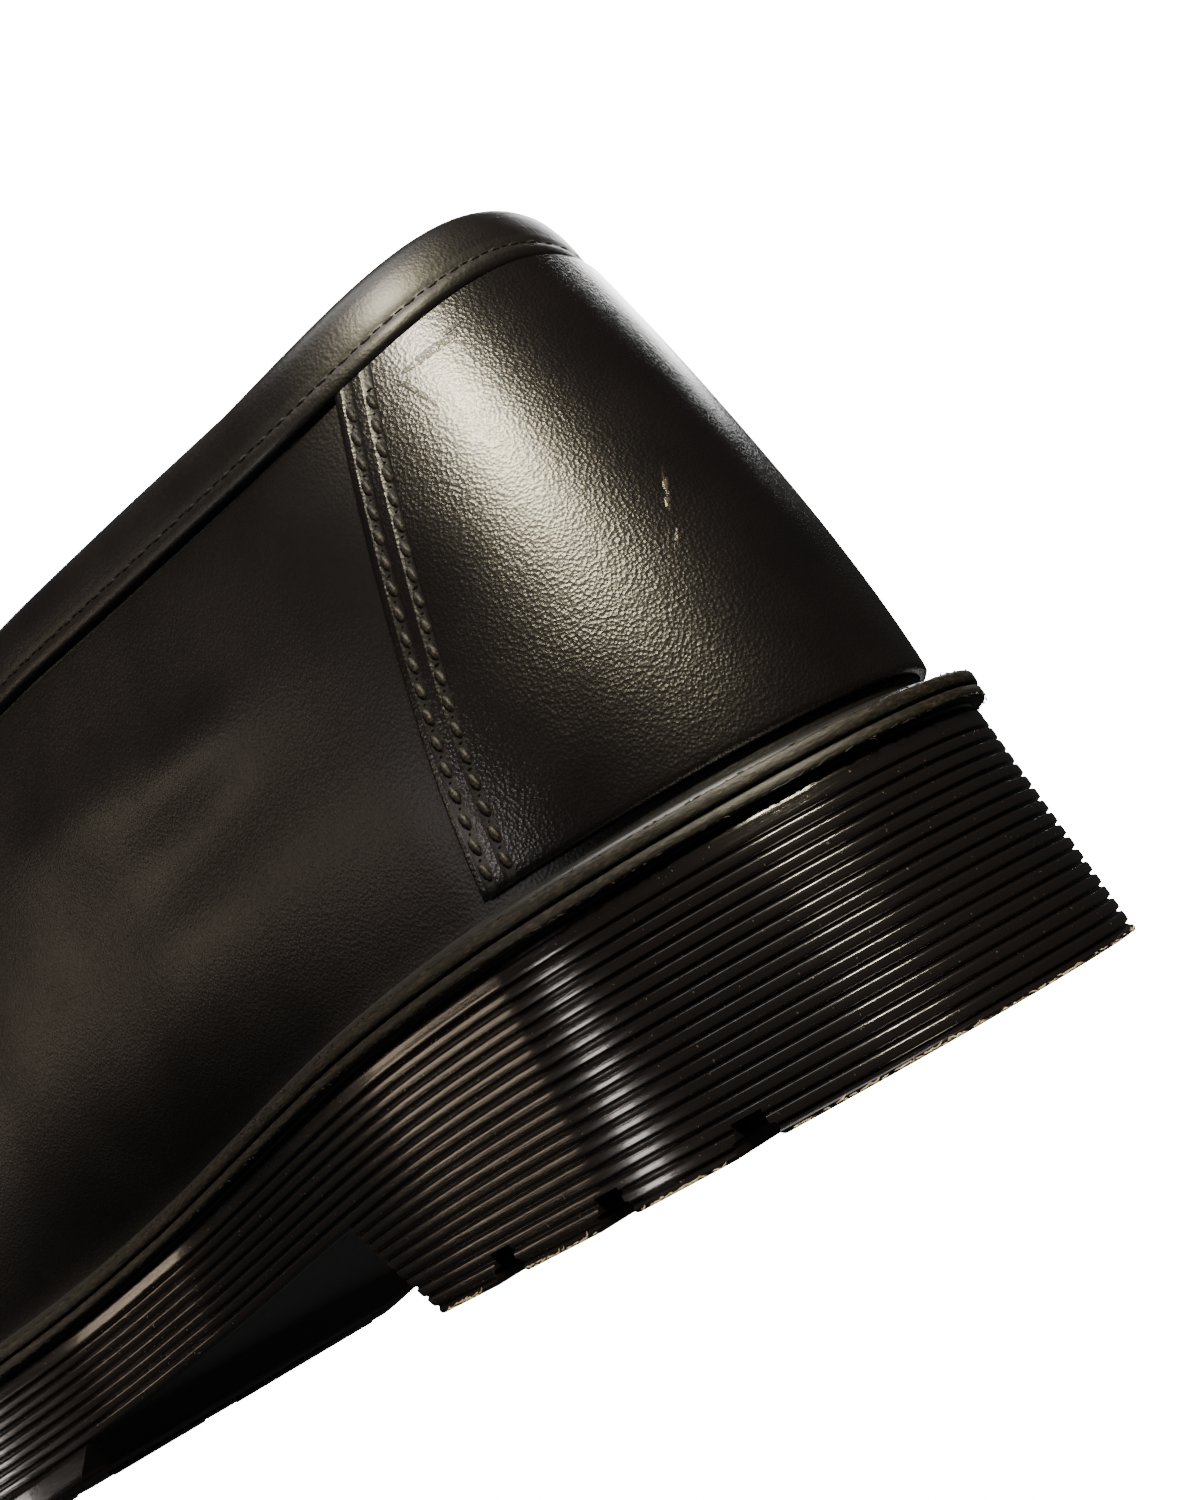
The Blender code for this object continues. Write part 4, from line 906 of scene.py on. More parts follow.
def counter_overlay(last, leather):
    """The heel's overlay: its front edges are skived round, its foot runs down to the welt."""
    near = np.array(COUNTER_LINES)
    across = np.concatenate([near, np.full(COUNTER_FREE, np.nan), -near[:0:-1], [OTHER_EDGE]])
    levels = np.concatenate([[0.0, 0.006, 0.016], np.linspace(0.035, 1.0, COUNTER_LEVELS)])
    columns, shares = counter_places(last, across, levels)
    edge = np.concatenate([near, np.full(COUNTER_FREE, 9.0), near[::-1]])
    foot = skived((shares - shares[0]) * last.reach(columns) + 0.25 * COUNTER_EDGE)
    flat = surface(last, columns, shares, COUNTER_GAP)
    outer = surface(last, columns, shares, COUNTER_GAP + COUNTER * np.minimum(skived(edge + 0.1), foot))
    up = np.array([way_along(line) for line in outer.transpose(1, 0, 2)])
    high, wide = len(levels), len(across)

    def places(vertices):
        return {v: (round((v.co.y + 1) / 2 * (high - 1)), round((v.co.x + 1) / 2 * (wide - 1)))
                for v in vertices}

    work = bmesh.new()
    grid = bmesh.ops.create_grid(work, x_segments=wide - 1, y_segments=high - 1, size=1.0)["verts"]
    inner = places(grid)
    layer = work.loops.layers.uv.new("way")
    for face in work.faces:
        for loop in face.loops:
            j, i = inner[loop.vert]
            loop[layer].uv = (edge[i], up[i, j])
    made = bmesh.ops.extrude_face_region(work, geom=work.faces[:])["geom"]
    top = places(v for v in made if isinstance(v, BMVert))
    for spots, points in ((inner, flat), (top, outer)):
        for v, spot in spots.items():
            if v.is_valid:
                v.co = placed(points[spot])
    return finished("counter_overlay", work, (leather,), 60)


def sock(lining):
    """The insole: slightly dished, its edge rounded where it meets the upper."""
    inset = (read(UPPER_SECTIONS, ALONG) + WALL + INSOLE_GAP
             + INSOLE_NARROWING * np.clip(ALONG - TOE_START, 0, None))
    low = TOPS - UNDER_WELT
    section = ((0.0, 0.0), (INSOLE - 1.0, 0.0), (INSOLE - 0.4, 0.12), (INSOLE - 0.05, 0.6), (INSOLE, 1.1))
    rows = [np.column_stack([set_in(inset + more), low + up]) for up, more in section]
    shares = (0.12, 0.3, 0.55, 0.8, 1.0)
    top = to_spine(rows[-1], shares)
    for row, share in zip(top, shares):
        inward = min(share / 0.6, 1.0)
        row[:, 2] -= DISH * inward * inward * (3 - 2 * inward)
    work = extruded(to_spine(rows[0], (1.0, 0.5)) + rows + top)
    return finished("sock", work, (lining,), 60)


# ---- stitches
BATCH = 40                  # beads made before they join the others
TRIM_RAGS = (0.9, 0.42)     # pitch and size of the rags along the trimmed edges
FLASH_RAGS = (0.42, 0.5)    # and along the flash
# shares of a rag's size: half width, half thickness, shortest half length and what may be added
RAG_WIDE, RAG_THICK, RAG_SHORT, RAG_LONGER = 0.3, 0.22, 0.35, 1.3
RAG_SHIFT, RAG_LEAN = 0.12, 0.25        # how far they leave the line, how far they lean and bend
FLASH_CLEAR = 0.8           # the flash ends so far before a hollow
RAG_GROUPS = 7.0            # size of the stretches with more and with fewer rags


class Beads:
    """Small rounded beads in one mesh, made a few at a time and then joined."""

    def __init__(self):
        self.whole, self.part, self.count = bmesh.new(), bmesh.new(), 0

    def add(self, middle, axes, bend, finish):
        """A bead with three half axes, its ends bent down along the second one."""
        turn = Matrix(axes).transposed() * MM
        matrix = Matrix.Translation(placed(middle)) @ turn.to_4x4()
        made = bmesh.ops.create_uvsphere(self.part, u_segments=6, v_segments=5, radius=1.0, matrix=matrix)
        lift, along = axes[1].normalized(), axes[2]
        for v in made["verts"]:
            t = (v.co - placed(middle)).dot(along) / along.length_squared / MM
            v.co -= lift * bend * t * t * MM
        for face in {f for v in made["verts"] for f in v.link_faces}:
            face.material_index = finish
        self.count += 1
        if self.count % BATCH == 0:
            self.gather()

    def gather(self):
        """Join the beads made last to the others."""
        joined(self.whole, self.part)
        self.part = bmesh.new()

    def piece(self, name, finishes, slot):
        """All the beads as one piece."""
        self.gather()
        self.part.free()
        return finished(name, self.whole, finishes, 80, merge=0.0005)


def thread_line(name, lines, pitch, size, slant, finishes, slot):
    """Stitches laid along lines of (points, outward normals), with a needle hole of painted shade between
    each two.
    """
    length, wide, thick, sink = size
    beads = Beads()
    for points, outward in lines:
        run = way_along(points)
        count = int(run[-1] // pitch)
        is_ring = np.allclose(points[0], points[-1])
        spacing = run[-1] / count if is_ring else pitch
        for k in range(2 * count):
            way = (k + 1) * spacing / 2
            middle = point_at(points, run, way)
            along = Vector(point_at(points, run, way + 0.3) - point_at(points, run, way - 0.3)).normalized()
            out = Vector(point_at(outward, run, way))
            out = (out - out.dot(along) * along).normalized()
            across = along.cross(out)
            lean = math.radians(slant) * (1 if out.y > 0 else -1)
            along = along * math.cos(lean) - across * math.sin(lean)
            across = along.cross(out)
            if k % 2 == 0:
                beads.add(middle, (across * wide / 2, out * thick / 2, along * length / 2), sink, 0)
            else:
                # the needle hole: a thin near-black lens of painted shade, sunk a little
                axes = (across * wide * HOLE_WIDTH, out * HOLE_THICK, along * (pitch - length) * HOLE_LENGTH)
                beads.add(middle - np.array(out) * HOLE_SINK, axes, 0.0, 1)
    return beads.piece(name, finishes, slot)


def torn_edge(name, line, pitch, size, seed, finish, slot, where=lambda point: True):
    """Small rags and crumbs of rubber left along an edge where it was trimmed."""
    dice = np.random.default_rng(seed)
    line = closed(line)
    run = way_along(line)
    beads = Beads()
    for way in np.arange(0, run[-1], pitch):
        way += dice.uniform(-0.5, 0.5) * pitch
        point = point_at(line, run, way)
        ahead = point_at(line, run, way + 0.5) - point
        long, thick, lean, shift = dice.uniform(0.3, 1.0) ** 2, dice.uniform(0.5, 1.0), *dice.normal(0, 1, 2)
        keep = dice.uniform(0, 1) < 0.5 + 0.9 * float(waviness(point.reshape(1, 3), RAG_GROUPS, seed)[0])
        if not keep or not where(point):
            continue
        along = (Vector(ahead).normalized() + Vector((0, 0, RAG_LEAN * lean))).normalized()
        across = along.cross(Vector((0, 0, 1))).normalized()
        up = across.cross(along)
        point[2] += RAG_SHIFT * shift * size
        axes = (across * size * RAG_WIDE * thick, up * size * RAG_THICK * thick,
                along * size * (RAG_SHORT + RAG_LONGER * long))
        beads.add(point, axes, RAG_LEAN * size * lean, 0)
    return beads.piece(name, (finish,), slot)


def on_a_lug(point):
    """False over the open ends of the hollows at the heel's sides."""
    past = (point[0] - HEEL_FIRST_LUG) % (2 * LUG_PITCH)
    open_rows = HEEL_FIRST_LUG < point[0] < HEEL_FIRST_LUG + (HEEL_LUG_ROWS - 1) * LUG_PITCH
    over_hollow = LUG_WIDTH - FLASH_CLEAR < past < LUG_PITCH + FLASH_CLEAR
    return point[0] < BREAST_AT_FLOOR - 1 and not (open_rows and over_hollow)


def rags(trimmed, flash):
    """The torn edges of the lip and of the welt, and the pale flash round the heel."""
    torn_edge("welt_rags", side_row(0.06, 0.22), *TRIM_RAGS, 5, trimmed, "welt_rubber")
    torn_edge("lip_rags", side_row(LIP_BOTTOM - 0.05, 0.03), *TRIM_RAGS, 6, trimmed, "sole_rubber")
    edge = np.column_stack([set_in(wall_inset(HEEL_HEIGHT, ALONG)), 0 * ALONG + 0.22])
    torn_edge("heel_flash", edge, *FLASH_RAGS, 8, flash, "sole_rubber", on_a_lug)


def counter_lines(last):
    """The double row behind each front edge of the counter."""
    lines = []
    for row in SEAM_ROWS:
        across = np.array([0.0, row, -row, OTHER_EDGE])
        columns, shares = counter_places(last, across, np.linspace(0.02, 0.985, 120))
        lines += [raised(last, columns[:, i], shares[:, i], COUNTER_GAP + COUNTER) for i in (1, 2)]
    return lines


def collar_line(last):
    """The row just above the lower edge of the collar's band."""
    columns = np.linspace(0, len(last.grid), 900)
    return [raised(last, columns, 1 - COLLAR_ROW / last.reach(columns), 0.98, base=Last.at)]


def apron_line(last):
    """The row on the apron, just inside its raised seam, from band to band."""
    columns = np.linspace(0, len(last.grid), 1600)
    length = last.reach(columns)
    share = last.apron_share(columns) + (APRON_REACH + 0.5) / length
    chosen = share < last.seat(columns) - 1.0 / length
    return [raised(last, columns[chosen], share[chosen], 0.1, root=-1.0)]


# ---- finishes
def operator(operation, swapped=False):
    """One of Python's operators as a Math node."""
    def combine(one, other):
        return one.math(operation, *((other, one) if swapped else (one, other)))
    return combine


class Shade:
    """A shader socket that can stand in a sum: each operator adds a Math node."""

    __add__ = __radd__ = operator("ADD")
    __mul__ = __rmul__ = operator("MULTIPLY")
    __sub__, __rsub__ = operator("SUBTRACT"), operator("SUBTRACT", True)
    __truediv__, __pow__ = operator("DIVIDE"), operator("POWER")

    def __init__(self, nodes, socket):
        self.nodes = nodes
        self.socket = socket

    def math(self, operation, *values):
        return self.nodes.add("ShaderNodeMath", {"operation": operation}, values)

    def squared(self):
        return self * self

    def between(self, low, high):
        """0 below low, 1 above high, with soft ends."""
        values = {"Value": self, "From Min": low, "From Max": high}
        return self.nodes.add("ShaderNodeMapRange", {"interpolation_type": "SMOOTHSTEP"}, values)

    def repeat(self, pitch):
        """Distance from the nearest multiple of a pitch."""
        return self.math("PINGPONG", self, pitch / 2)


class Nodes:
    """The nodes of a material or of the surroundings."""

    def __init__(self, owner):
        owner.use_nodes = True
        self.tree = owner.node_tree

    def join(self, values, node):
        """Give the sockets of a node their values or links."""
        for socket, value in values.items() if isinstance(values, dict) else enumerate(values):
            if isinstance(value, Shade):
                self.tree.links.new(value.socket, node.inputs[socket])
            elif value is not None:
                node.inputs[socket].default_value = value

    def add(self, kind, settings, values, output=0):
        """A node with its settings, then the values or links of its sockets."""
        node = self.tree.nodes.new(kind)
        for setting, value in settings.items():
            setattr(node, setting, value)
        self.join(values, node)
        return Shade(self, node.outputs[output])


class Finish(Nodes):
    """A material whose surface is worked out by nodes."""

    def __init__(self, name, specular, coat=0.0, coat_roughness=0.03):
        self.material = bpy.data.materials.new(name)
        super().__init__(self.material)
        self.shader = self.tree.nodes["Principled BSDF"]
        self.join({"Specular IOR Level": specular, "Coat Weight": coat, "Coat Roughness": coat_roughness},
                  self.shader)

    def places(self):
        """The point on the shoe, in metres."""
        return self.add("ShaderNodeTexCoord", {}, {}, "Object")

    def way(self, axis):
        """One number of the piece's own flat map, in millimetres."""
        return self.part_of(self.add("ShaderNodeUVMap", {"uv_map": "way"}, {}), axis)

    def part_of(self, vector, axis):
        """One number of a vector."""
        return self.add("ShaderNodeSeparateXYZ", {}, {"Vector": vector}, axis)

    def vector(self, operation, one, other, output=0):
        """Two vectors added, subtracted or multiplied."""
        return self.add("ShaderNodeVectorMath", {"operation": operation}, (one, other), output)

    def cloud(self, size, detail=3.0, stretch=None, rough=0.5):
        """Smooth noise from 0 to 1, with lumps of a size in millimetres; a stretch makes them slim."""
        places = self.vector("MULTIPLY", self.places(), stretch) if stretch else self.places()
        values = {"Vector": places, "Scale": 1000 / size, "Detail": detail, "Roughness": rough}
        return self.add("ShaderNodeTexNoise", {}, values, "Fac")

    def cells(self, size, feature="F1", vector=None, randomness=1.0):
        """Distance inside cells of a size in millimetres."""
        values = {"Vector": vector or self.places(), "Scale": 1000 / size, "Randomness": randomness}
        return self.add("ShaderNodeTexVoronoi", {"feature": feature}, values, "Distance")

    def mix(self, factor, low, high):
        """A colour between two."""
        ends = [c if isinstance(c, Shade) else (*c, 1.0) for c in (low, high)]
        return self.add("ShaderNodeMix", {"data_type": "RGBA"}, {0: factor, 6: ends[0], 7: ends[1]}, 2)

    def relief(self, height, depth, strength=1.0, under=None):
        """A bump of a depth in millimetres, over another one if there is one."""
        values = {"Height": height, "Distance": depth * MM, "Strength": strength, "Normal": under}
        return self.add("ShaderNodeBump", {}, values)

    def along(self, vector, direction, unit):
        """How far a vector reaches in a direction, in units of so many millimetres."""
        return self.vector("DOT_PRODUCT", vector, Vector(direction).normalized() / (unit * MM), "Value")

    def spot(self, middle, outward, direction, length, width):
        """1 in a slim spot on the surface that faces outward, 0 a little way from it."""
        step = self.vector("SUBTRACT", self.places(), placed(middle))
        ahead = self.along(step, direction, length)
        aside = self.along(step, Vector(outward).cross(Vector(direction)), width)
        near = self.along(step, outward, 1.0).between(-6.0, -4.0)
        return (1.0 - ((ahead.squared() + aside.squared()) ** 0.5).between(0.3, 1.2)) * near

    def show(self, colour, roughness, normal=None):
        """Join the results to the shader and give the material."""
        self.join({"Base Color": colour, "Roughness": roughness, "Normal": normal}, self.shader)
        return self.material


# scuffs of the counter: middle, outward, direction, half length, half width
SCUFFS = (
    ((24.0, 20.5, 90.4), (-0.73, 0.66, 0.15), (0.64, 0.72, -0.18), 4.2, 0.55),
    ((26.6, 22.9, 87.0), (-0.68, 0.72, 0.15), (0.25, 0.3, 0.9), 3.0, 0.35),
    ((21.5, 18.4, 92.0), (-0.78, 0.6, 0.15), (0.6, 0.7, -0.3), 1.6, 0.3),
    ((12.5, 12.4, 64.2), (-0.92, 0.38, 0.1), (0.25, 0.4, -0.9), 3.0, 0.4),
    ((13.6, 14.4, 58.5), (-0.9, 0.42, 0.1), (0.3, 0.5, -0.8), 1.5, 0.25),
)


def leather_surface(finish, shine, grain=1.0):
    """Colour, roughness and relief of smooth black leather; shine is its mean roughness."""
    pebbles, pores, patches = finish.cells(0.42), finish.cloud(0.24), finish.cloud(16.0)
    hair = finish.cloud(0.8, 4.0, (1.0, 1.0, 0.45), 0.62)
    height = pebbles * 0.9 + pores * 0.4 + hair * 0.2
    strength = patches.between(0.35, 0.7) * 0.35 + 0.5
    colour = finish.mix(patches.between(0.3, 0.75), (0.0040, 0.0034, 0.0042), (0.0064, 0.0051, 0.0056))
    roughness = shine + (pores - 0.5) * 0.08 + (patches - 0.5) * 0.12
    return colour, roughness, finish.relief(height * strength, 0.06 * grain)


def upper_leather():
    """The quarters and the vamp."""
    finish = Finish("upper_leather", 0.4, 0.08, 0.35)
    return finish.show(*leather_surface(finish, 0.4))


def counter_leather():
    """The heel's overlay: polished, with scuffs, and pressed in along its double seam, with painted shade in
    that channel.
    """
    finish = Finish("counter_leather", 0.5, 0.2, 0.25)
    colour, roughness, normal = leather_surface(finish, 0.27, 1.25)
    scuff = finish.spot(*SCUFFS[0])
    for place in SCUFFS[1:]:
        scuff = scuff.math("MAXIMUM", scuff, finish.spot(*place))
    scuff = scuff * finish.cloud(0.6).between(0.36, 0.6)
    across = finish.way("X")
    first, second = (1.0 - ((across - row) / 0.9).squared().between(0.0, 1.0) for row in SEAM_ROWS)
    trough_and_shade = first + second
    colour = finish.mix(scuff, colour, (0.07, 0.06, 0.045))
    # painted shade: the pressed channel along each row of stitches is darkened
    colour = finish.mix(trough_and_shade * 0.7, colour, (0.002, 0.0018, 0.0018))
    normal = finish.relief(scuff * 0.6 - trough_and_shade * 0.9, 0.15, 1.0, normal)
    return finish.show(colour, roughness + trough_and_shade * 0.2 - scuff * 0.08, normal)


def band_leather():
    """The collar's folded band, puckered along its row of stitches, with painted shade along that row."""
    finish = Finish("band_leather", 0.45, 0.15, 0.3)
    colour, roughness, normal = leather_surface(finish, 0.42, 0.8)
    pucker_and_shade = 1.0 - ((finish.way("Y") - COLLAR_ROW) / 1.4).squared().between(0.0, 1.0)
    wave = (finish.way("X").repeat(COLLAR_PITCH) / (COLLAR_PITCH / 2)).between(0.1, 0.9)
    # painted shade: the band is darkened along the puckered row of stitches
    colour = finish.mix(pucker_and_shade * 0.6, colour, (0.004, 0.0035, 0.003))
    normal = finish.relief(pucker_and_shade * (1.0 - wave * 0.5), 0.06, 1.0, normal)
    return finish.show(colour, roughness + pucker_and_shade * 0.1, normal)


def lining_leather():
    """The lining and the sock: matt, with a fine even grain."""
    finish = Finish("lining_leather", 0.3)
    grain, patches = finish.cells(0.6), finish.cloud(25.0)
    colour = finish.mix(patches.between(0.3, 0.7), (0.016, 0.013, 0.011), (0.026, 0.021, 0.017))
    return finish.show(colour, 0.6 + (grain - 0.5) * 0.1, finish.relief(grain, 0.04, 0.7))


def rib_rubber():
    """The glossy side: long fine streaks, specks of dust, a pale torn line of flash."""
    finish = Finish("rib_rubber", 0.5, 0.35, 0.07)
    streaks = finish.cloud(7.0, 4.0, (1.0, 1.0, 22.0), 0.65)
    dust = finish.cloud(0.45, 2.0).between(0.70, 0.76)
    patches = finish.cloud(22.0, 2.0)
    height = finish.part_of(finish.places(), "Z") / MM
    torn = finish.cloud(1.6, 4.0, (1.0, 1.0, 0.2), 0.7)
    ragged = finish.cloud(14.0, 2.0, (1.0, 1.0, 0.05)).between(0.42, 0.6)
    flash = 1.0 - (height - (torn - 0.4) * 1.1 * ragged).between(0.0, 0.1)
    colour = finish.mix(patches, (0.0050, 0.0045, 0.0055), (0.0085, 0.0068, 0.0070))
    colour = finish.mix(dust * 0.45, colour, (0.10, 0.085, 0.065))
    colour = finish.mix(flash, colour, (0.46, 0.38, 0.24))
    roughness = 0.17 + (streaks - 0.5) * 0.16 + flash * 0.35 + dust * 0.2
    return finish.show(colour, roughness, finish.relief(streaks, 0.03, 0.8))


def trimmed_rubber():
    """The cut edge of the lip and of the welt: torn along its length, a little brown."""
    finish = Finish("trimmed_rubber", 0.45)
    torn = finish.cloud(0.9, 5.0, (1.0, 1.0, 3.0), 0.7)
    lumps = finish.cloud(3.0, 3.0, (1.0, 1.0, 4.0))
    colour = finish.mix(torn.between(0.45, 0.75), (0.0085, 0.0078, 0.007), (0.045, 0.036, 0.026))
    height = torn * 0.6 + lumps * 0.6
    return finish.show(colour, 0.42 + (torn - 0.5) * 0.3, finish.relief(height, 0.16))


def welt_rubber():
    """The bead: smooth and glossy, with faint marks along it."""
    finish = Finish("welt_rubber", 0.8, 0.8, 0.35)
    marks = finish.cloud(4.0, 4.0, None, 0.6)
    colour = finish.mix(marks, (0.0085, 0.0085, 0.0085), (0.014, 0.0135, 0.013))
    return finish.show(colour, 0.4 + (marks - 0.5) * 0.14, finish.relief(marks, 0.05, 0.6))


# painted amber light at the tread's rim, as if light shone through the thin rubber
GLOW_BACK = 0.72            # the way to the back of the heel counts less than that to its side
GLOW_WANDER = 9.0           # size of the waves of the glow's edge, and how far it wanders
GLOW_MIDDLE = (-19.2, 4.8)  # y where the glow is full, y where it ends
GLOW_FADE = 15.0            # way along the shoe over which it ends in front


def painted_glow_at_rim(finish, colour, amber, start=25.0, end=37.0, last=85.0):
    """Painted light: a colour that turns to amber towards the lateral edge and the back, as if light shone
    through the thin rubber there.
    """
    spots = finish.places()
    across = finish.part_of(spots, "Y") / MM - CENTRE_LINE
    along = finish.part_of(spots, "X") / MM - HEEL_BACK
    behind = HEEL_CENTRE - along
    behind = behind.math("MAXIMUM", behind, 0.0) * GLOW_BACK
    reach = (behind.squared() + across.squared()) ** 0.5
    wander = (finish.cloud(GLOW_WANDER, 2.0) - 0.5) * GLOW_WANDER
    rim = (reach + wander).between(start, end) * (1.0 - across.between(*GLOW_MIDDLE))
    return finish.mix(rim * (1.0 - along.between(last, last + GLOW_FADE)), colour, amber)


def two_tone(name, specular, size, ends, dark, light, roughness, depth=0.0, strength=1.0,
             fine=None, uneven=0.0, painted_glow=None, detail=3.0):
    """A material of two tones in lumps of a size, with a fine relief; its glow holds the painted amber light
    at its rim.
    """
    finish = Finish(name, specular)
    lumps = finish.cloud(size, detail)
    grain = finish.cloud(fine) if fine else lumps
    colour = finish.mix(lumps.between(*ends) if ends else lumps, dark, light)
    # painted light: amber towards the rim
    if painted_glow:
        colour = painted_glow_at_rim(finish, colour, *painted_glow)
    if uneven:
        roughness = roughness + (grain - 0.5) * uneven
    return finish.show(colour, roughness, finish.relief(grain, depth, strength) if depth else None)


def hollow_rubber():
    """The floors between the lugs: smooth, grey, faintly purple, with painted amber light towards the rim."""
    return two_tone("hollow_rubber", 0.45, 12.0, None, (0.040, 0.035, 0.036), (0.075, 0.066, 0.066),
                    0.38, 0.03, 0.5, fine=0.8, painted_glow=((0.20, 0.11, 0.05),))


def lug_rubber():
    """The walls of the lugs: nearly black, amber where light comes through."""
    return two_tone("lug_rubber", 0.5, 10.0, (0.4, 0.7), (0.009, 0.007, 0.006), (0.030, 0.016, 0.008),
                    0.26, 0.03, 0.5, fine=1.0, painted_glow=((0.30, 0.13, 0.025),))


def waist_rubber():
    """The bare underside of the waist: smooth smoky brown, as if light came into it."""
    return two_tone("waist_rubber", 0.5, 30.0, (0.35, 0.65), (0.026, 0.023, 0.022), (0.046, 0.034, 0.025),
                    0.32, 0.02, 0.5, fine=1.2, uneven=0.1, painted_glow=((0.14, 0.115, 0.095), 12.0, 34.0, 160.0))


def flash_rubber():
    """The pale rags of rubber squeezed out of the mould."""
    return two_tone("flash_rubber", 0.35, 0.6, (0.3, 0.7), (0.22, 0.17, 0.10), (0.58, 0.50, 0.35), 0.55, 0.1)


def thread():
    """Waxed black thread; its lighter lumps are painted highlights, glints on the strands."""
    return two_tone("thread", 0.3, 0.35, (0.45, 0.65), (0.005, 0.0042, 0.004), (0.026, 0.020, 0.018),
                    0.52, 0.08)


def needle_hole_shade():
    """Painted shade: the near-black lens in the gap between two stitches, where the needle hole lies in
    shadow.
    """
    return two_tone("needle_hole_shade", 0.05, 0.5, None, (0.0012, 0.001, 0.001), (0.003, 0.0025, 0.002),
                    0.9, detail=2.0)


def pebbled_rubber():
    """The lugs' faces: rows of shallow dimples painted darker in their middles as shade, with painted
    highlights along the ridges between them and painted amber light at the rim.
    """
    finish = Finish("pebbled_rubber", 0.4)
    values = {"Vector": finish.places(), "Scale": 260.0, "Detail": 2.0}
    bend = finish.add("ShaderNodeTexNoise", {}, values, "Color")
    wobble = finish.vector("MULTIPLY", bend, (0.0014, 0.0014, 0.0))
    flat = finish.vector("ADD", finish.vector("MULTIPLY", finish.places(), (1.1, 0.75, 0.0)), wobble)
    ridge, dimple = (finish.cells(1.05, kind, flat, 0.8) for kind in ("DISTANCE_TO_EDGE", "SMOOTH_F1"))
    ridge_patches, fine = finish.cloud(5.0), finish.cloud(0.4)
    line = (1.0 - ridge.between(0.0, 0.2)) * (ridge_patches + fine - 0.5).between(0.0, 0.7)
    # painted shade: each dimple darker in its middle
    colour = finish.mix(dimple.between(0.1, 0.75), (0.024, 0.020, 0.018), (0.046, 0.039, 0.035))
    # painted highlight: pale lines along the ridges, broken up in patches
    colour = finish.mix(line * 0.4, colour, (0.105, 0.088, 0.072))
    # painted light: amber towards the rim
    colour = painted_glow_at_rim(finish, colour, (0.36, 0.235, 0.11))
    return finish.show(colour, 0.36 + line * 0.15, finish.relief(dimple + fine * 0.2, 0.8))


# ---- stage
FLOOR_GLOW = 22.0           # what the floor sends out, so that it is as pale as the background
BACKGROUND_SEEN = 24.0      # what the camera sees of the background
BACKGROUND_LIGHT = 0.025    # what falls on the shoe
CAMERA_AZIMUTH = 126.3      # from +x towards +y: over the inner side, from behind
CAMERA_DISTANCE = 215.0
CAMERA_HEIGHT = 8.0         # just over the floor
CAMERA_ROLL, CAMERA_PAN, CAMERA_TILT = -29.0, -1.2, 1.6
LENS = 46.8
AIM = (41.3, 16.2, 42.6)


def floor():
    """A wide pale floor at z = 0."""
    work = bmesh.new()
    bmesh.ops.create_grid(work, x_segments=1, y_segments=1, size=6.0)
    made = linked("floor", mesh_of(work, "floor"))
    white = Finish("floor", 0.1)
    white.join({"Emission Strength": FLOOR_GLOW, "Emission Color": (1.0, 1.0, 1.0, 1.0)}, white.shader)
    made.data.materials.append(white.show((0.86, 0.86, 0.86, 1.0), 0.8))
    made.visible_glossy = made.visible_diffuse = False


def toward(azimuth, elevation):
    """A direction: azimuth in degrees from +x towards +y, elevation over the floor."""
    a, e = math.radians(azimuth), math.radians(elevation)
    return Vector((math.cos(a) * math.cos(e), math.sin(a) * math.cos(e), math.sin(e)))


def softbox(name, target, azimuth, elevation, distance, wide, high, power, colour=(1.0, 1.0, 1.0)):
    """A rectangular light that faces a point."""
    light = bpy.data.lights.new(name, "AREA")
    light.shape = "RECTANGLE"
    light.size, light.size_y, light.energy, light.color = wide, high, power, colour
    made = linked(name, light)
    way = toward(azimuth, elevation)
    made.location = target + way * distance
    made.rotation_mode = "QUATERNION"
    made.rotation_quaternion = way.to_track_quat("Z", "Y")


def surroundings():
    """A white background that lights the shoe only softly."""
    world = bpy.data.worlds.new("studio")
    nodes = Nodes(world)
    seen = nodes.add("ShaderNodeLightPath", {}, {}, "Is Camera Ray")
    values = {"Value": seen, "To Min": BACKGROUND_LIGHT, "To Max": BACKGROUND_SEEN}
    strength = nodes.add("ShaderNodeMapRange", {}, values)
    nodes.join({"Color": (1.0, 1.0, 1.0, 1.0), "Strength": strength}, nodes.tree.nodes["Background"])
    bpy.context.scene.world = world


def camera():
    """A close view of the heel from behind the inner side, low down and rolled."""
    data = bpy.data.cameras.new("camera")
    data.lens = LENS
    data.sensor_fit = "VERTICAL"
    data.sensor_height = 36.0
    data.clip_start = 0.01
    made = linked("camera", data)
    aim = placed(AIM)
    place = aim + toward(CAMERA_AZIMUTH, 0) * CAMERA_DISTANCE * MM
    place.z = CAMERA_HEIGHT * MM
    turn = (aim - place).to_track_quat("-Z", "Y").to_matrix()
    for angle, axis in ((CAMERA_ROLL, "Z"), (CAMERA_PAN, "Y"), (CAMERA_TILT, "X")):
        turn = turn @ Matrix.Rotation(math.radians(angle), 3, axis)
    made.matrix_world = Matrix.Translation(place) @ turn.to_4x4()
    bpy.context.scene.camera = made


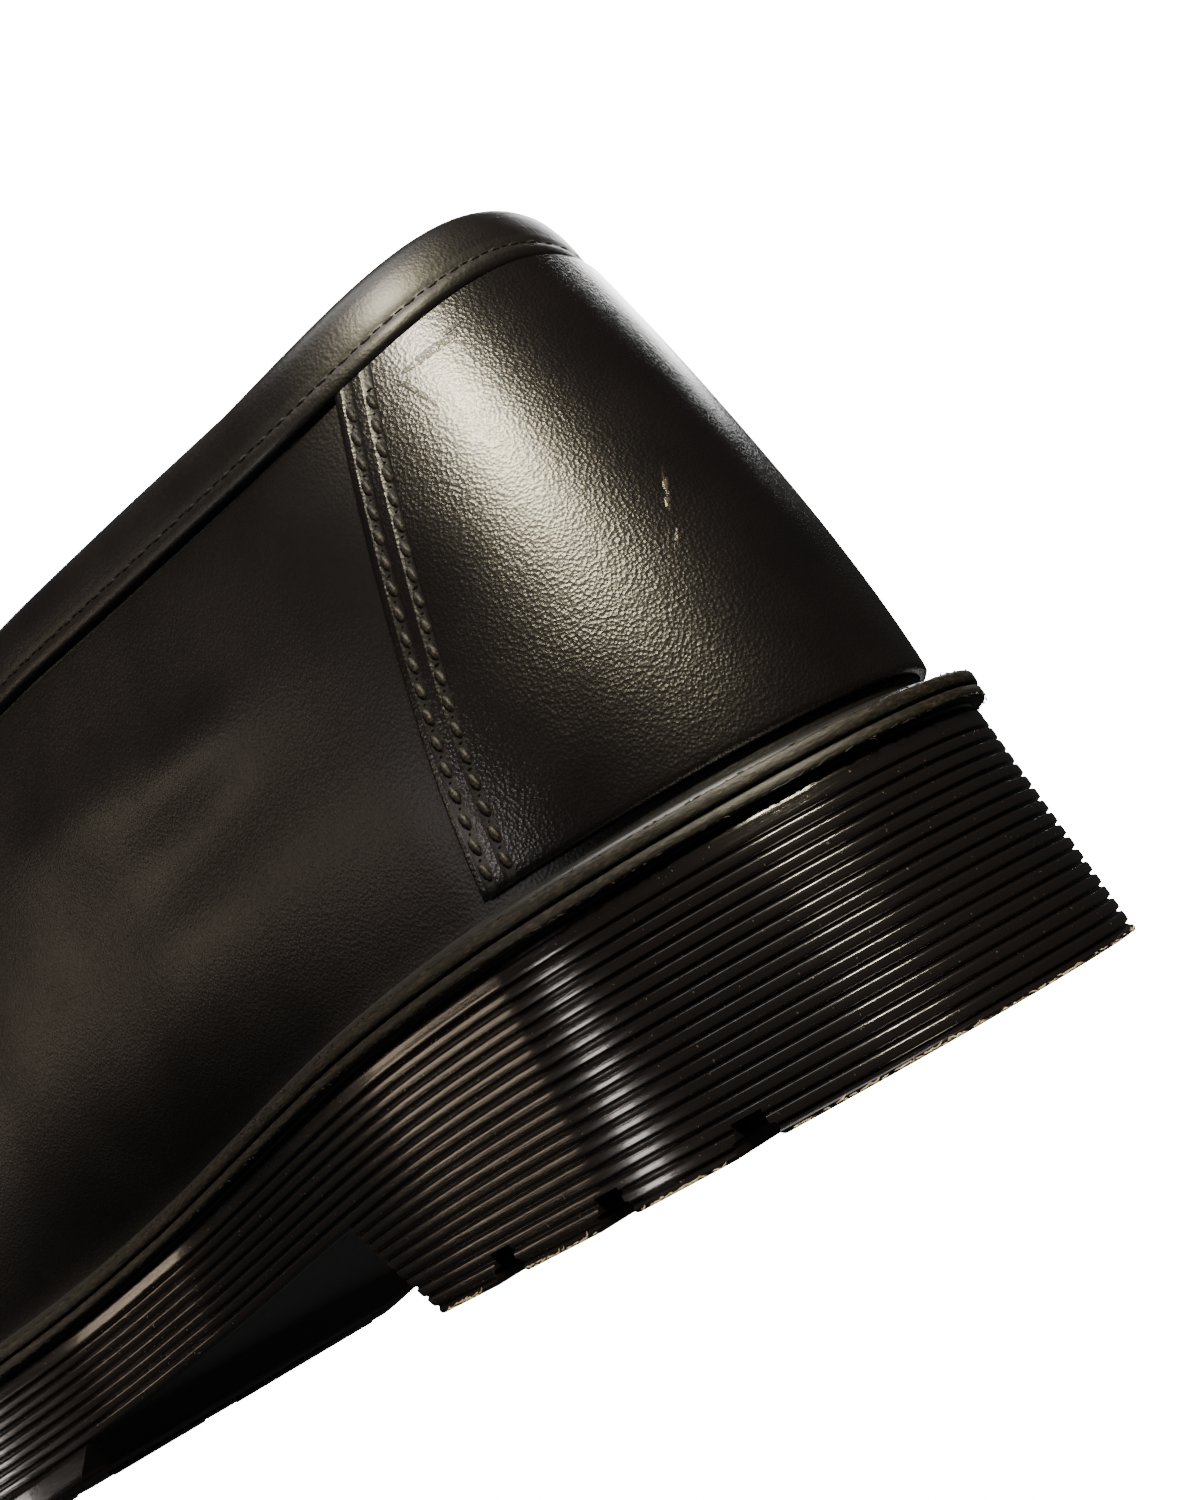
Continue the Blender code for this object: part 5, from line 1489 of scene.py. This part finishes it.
# ---- the shoe
def dress():
    """Make every piece and hide the plain solid that it stands for."""
    last = Last()
    ribs, trimmed, black, lining = rib_rubber(), trimmed_rubber(), upper_leather(), lining_leather()
    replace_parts(sole_layer(ribs, waist_rubber(), trimmed), "outsole")
    rags(trimmed, flash_rubber())
    tread_finishes = (ribs, pebbled_rubber(), hollow_rubber(), lug_rubber())
    heel_block(tread_finishes)
    forefoot_block(tread_finishes)
    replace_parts(welt(welt_rubber(), trimmed), "welt")
    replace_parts(upper_shell(last, black, lining), "upper")
    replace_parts(collar_fold(last, band_leather()), "collar_band")
    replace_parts(counter_overlay(last, counter_leather()), "heel_counter")
    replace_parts(sock(lining), "insole")
    sewing = (thread(), needle_hole_shade())
    for name, lines, pitch, size, slant, slot in (
            ("counter_stitches", counter_lines, STITCH_PITCH, SEAM_STITCH, 20, "counter_leather"),
            ("collar_stitches", collar_line, COLLAR_PITCH, COLLAR_STITCH, 0, "band_leather"),
            ("apron_stitches", apron_line, APRON_PITCH, APRON_STITCH, 0, "upper_leather")):
        thread_line(name, lines(last), pitch, size, slant, sewing, slot)


dress()
floor()
surroundings()
camera()
HEEL, FOREFOOT = placed((30.0, 10.0, 45.0)), placed((210.0, 0.0, 40.0))
WARM, PALE, AMBER = (1.0, 0.90, 0.62), (1.0, 0.92, 0.86), (1.0, 0.80, 0.58)
# name, target, azimuth, elevation, distance, width, height, power, colour
softbox("key", HEEL, 140.0, 38.0, 0.75, 0.24, 0.08, 11.0, WARM)
softbox("collar", HEEL, 138.0, 50.0, 0.8, 0.16, 0.16, 2.9, PALE)
softbox("side", HEEL, 66.0, 3.0, 0.9, 0.1, 0.12, 0.8, PALE)
softbox("front", HEEL, 38.0, 11.0, 0.9, 0.3, 0.08, 0.42, AMBER)
softbox("toe", FOREFOOT, -38.0, 28.0, 1.0, 0.4, 0.3, 6.0)
softbox("lateral", HEEL, -72.0, 32.0, 1.0, 0.6, 0.3, 7.0)
softbox("top", HEEL, 100.0, 80.0, 1.1, 0.7, 0.5, 5.0)
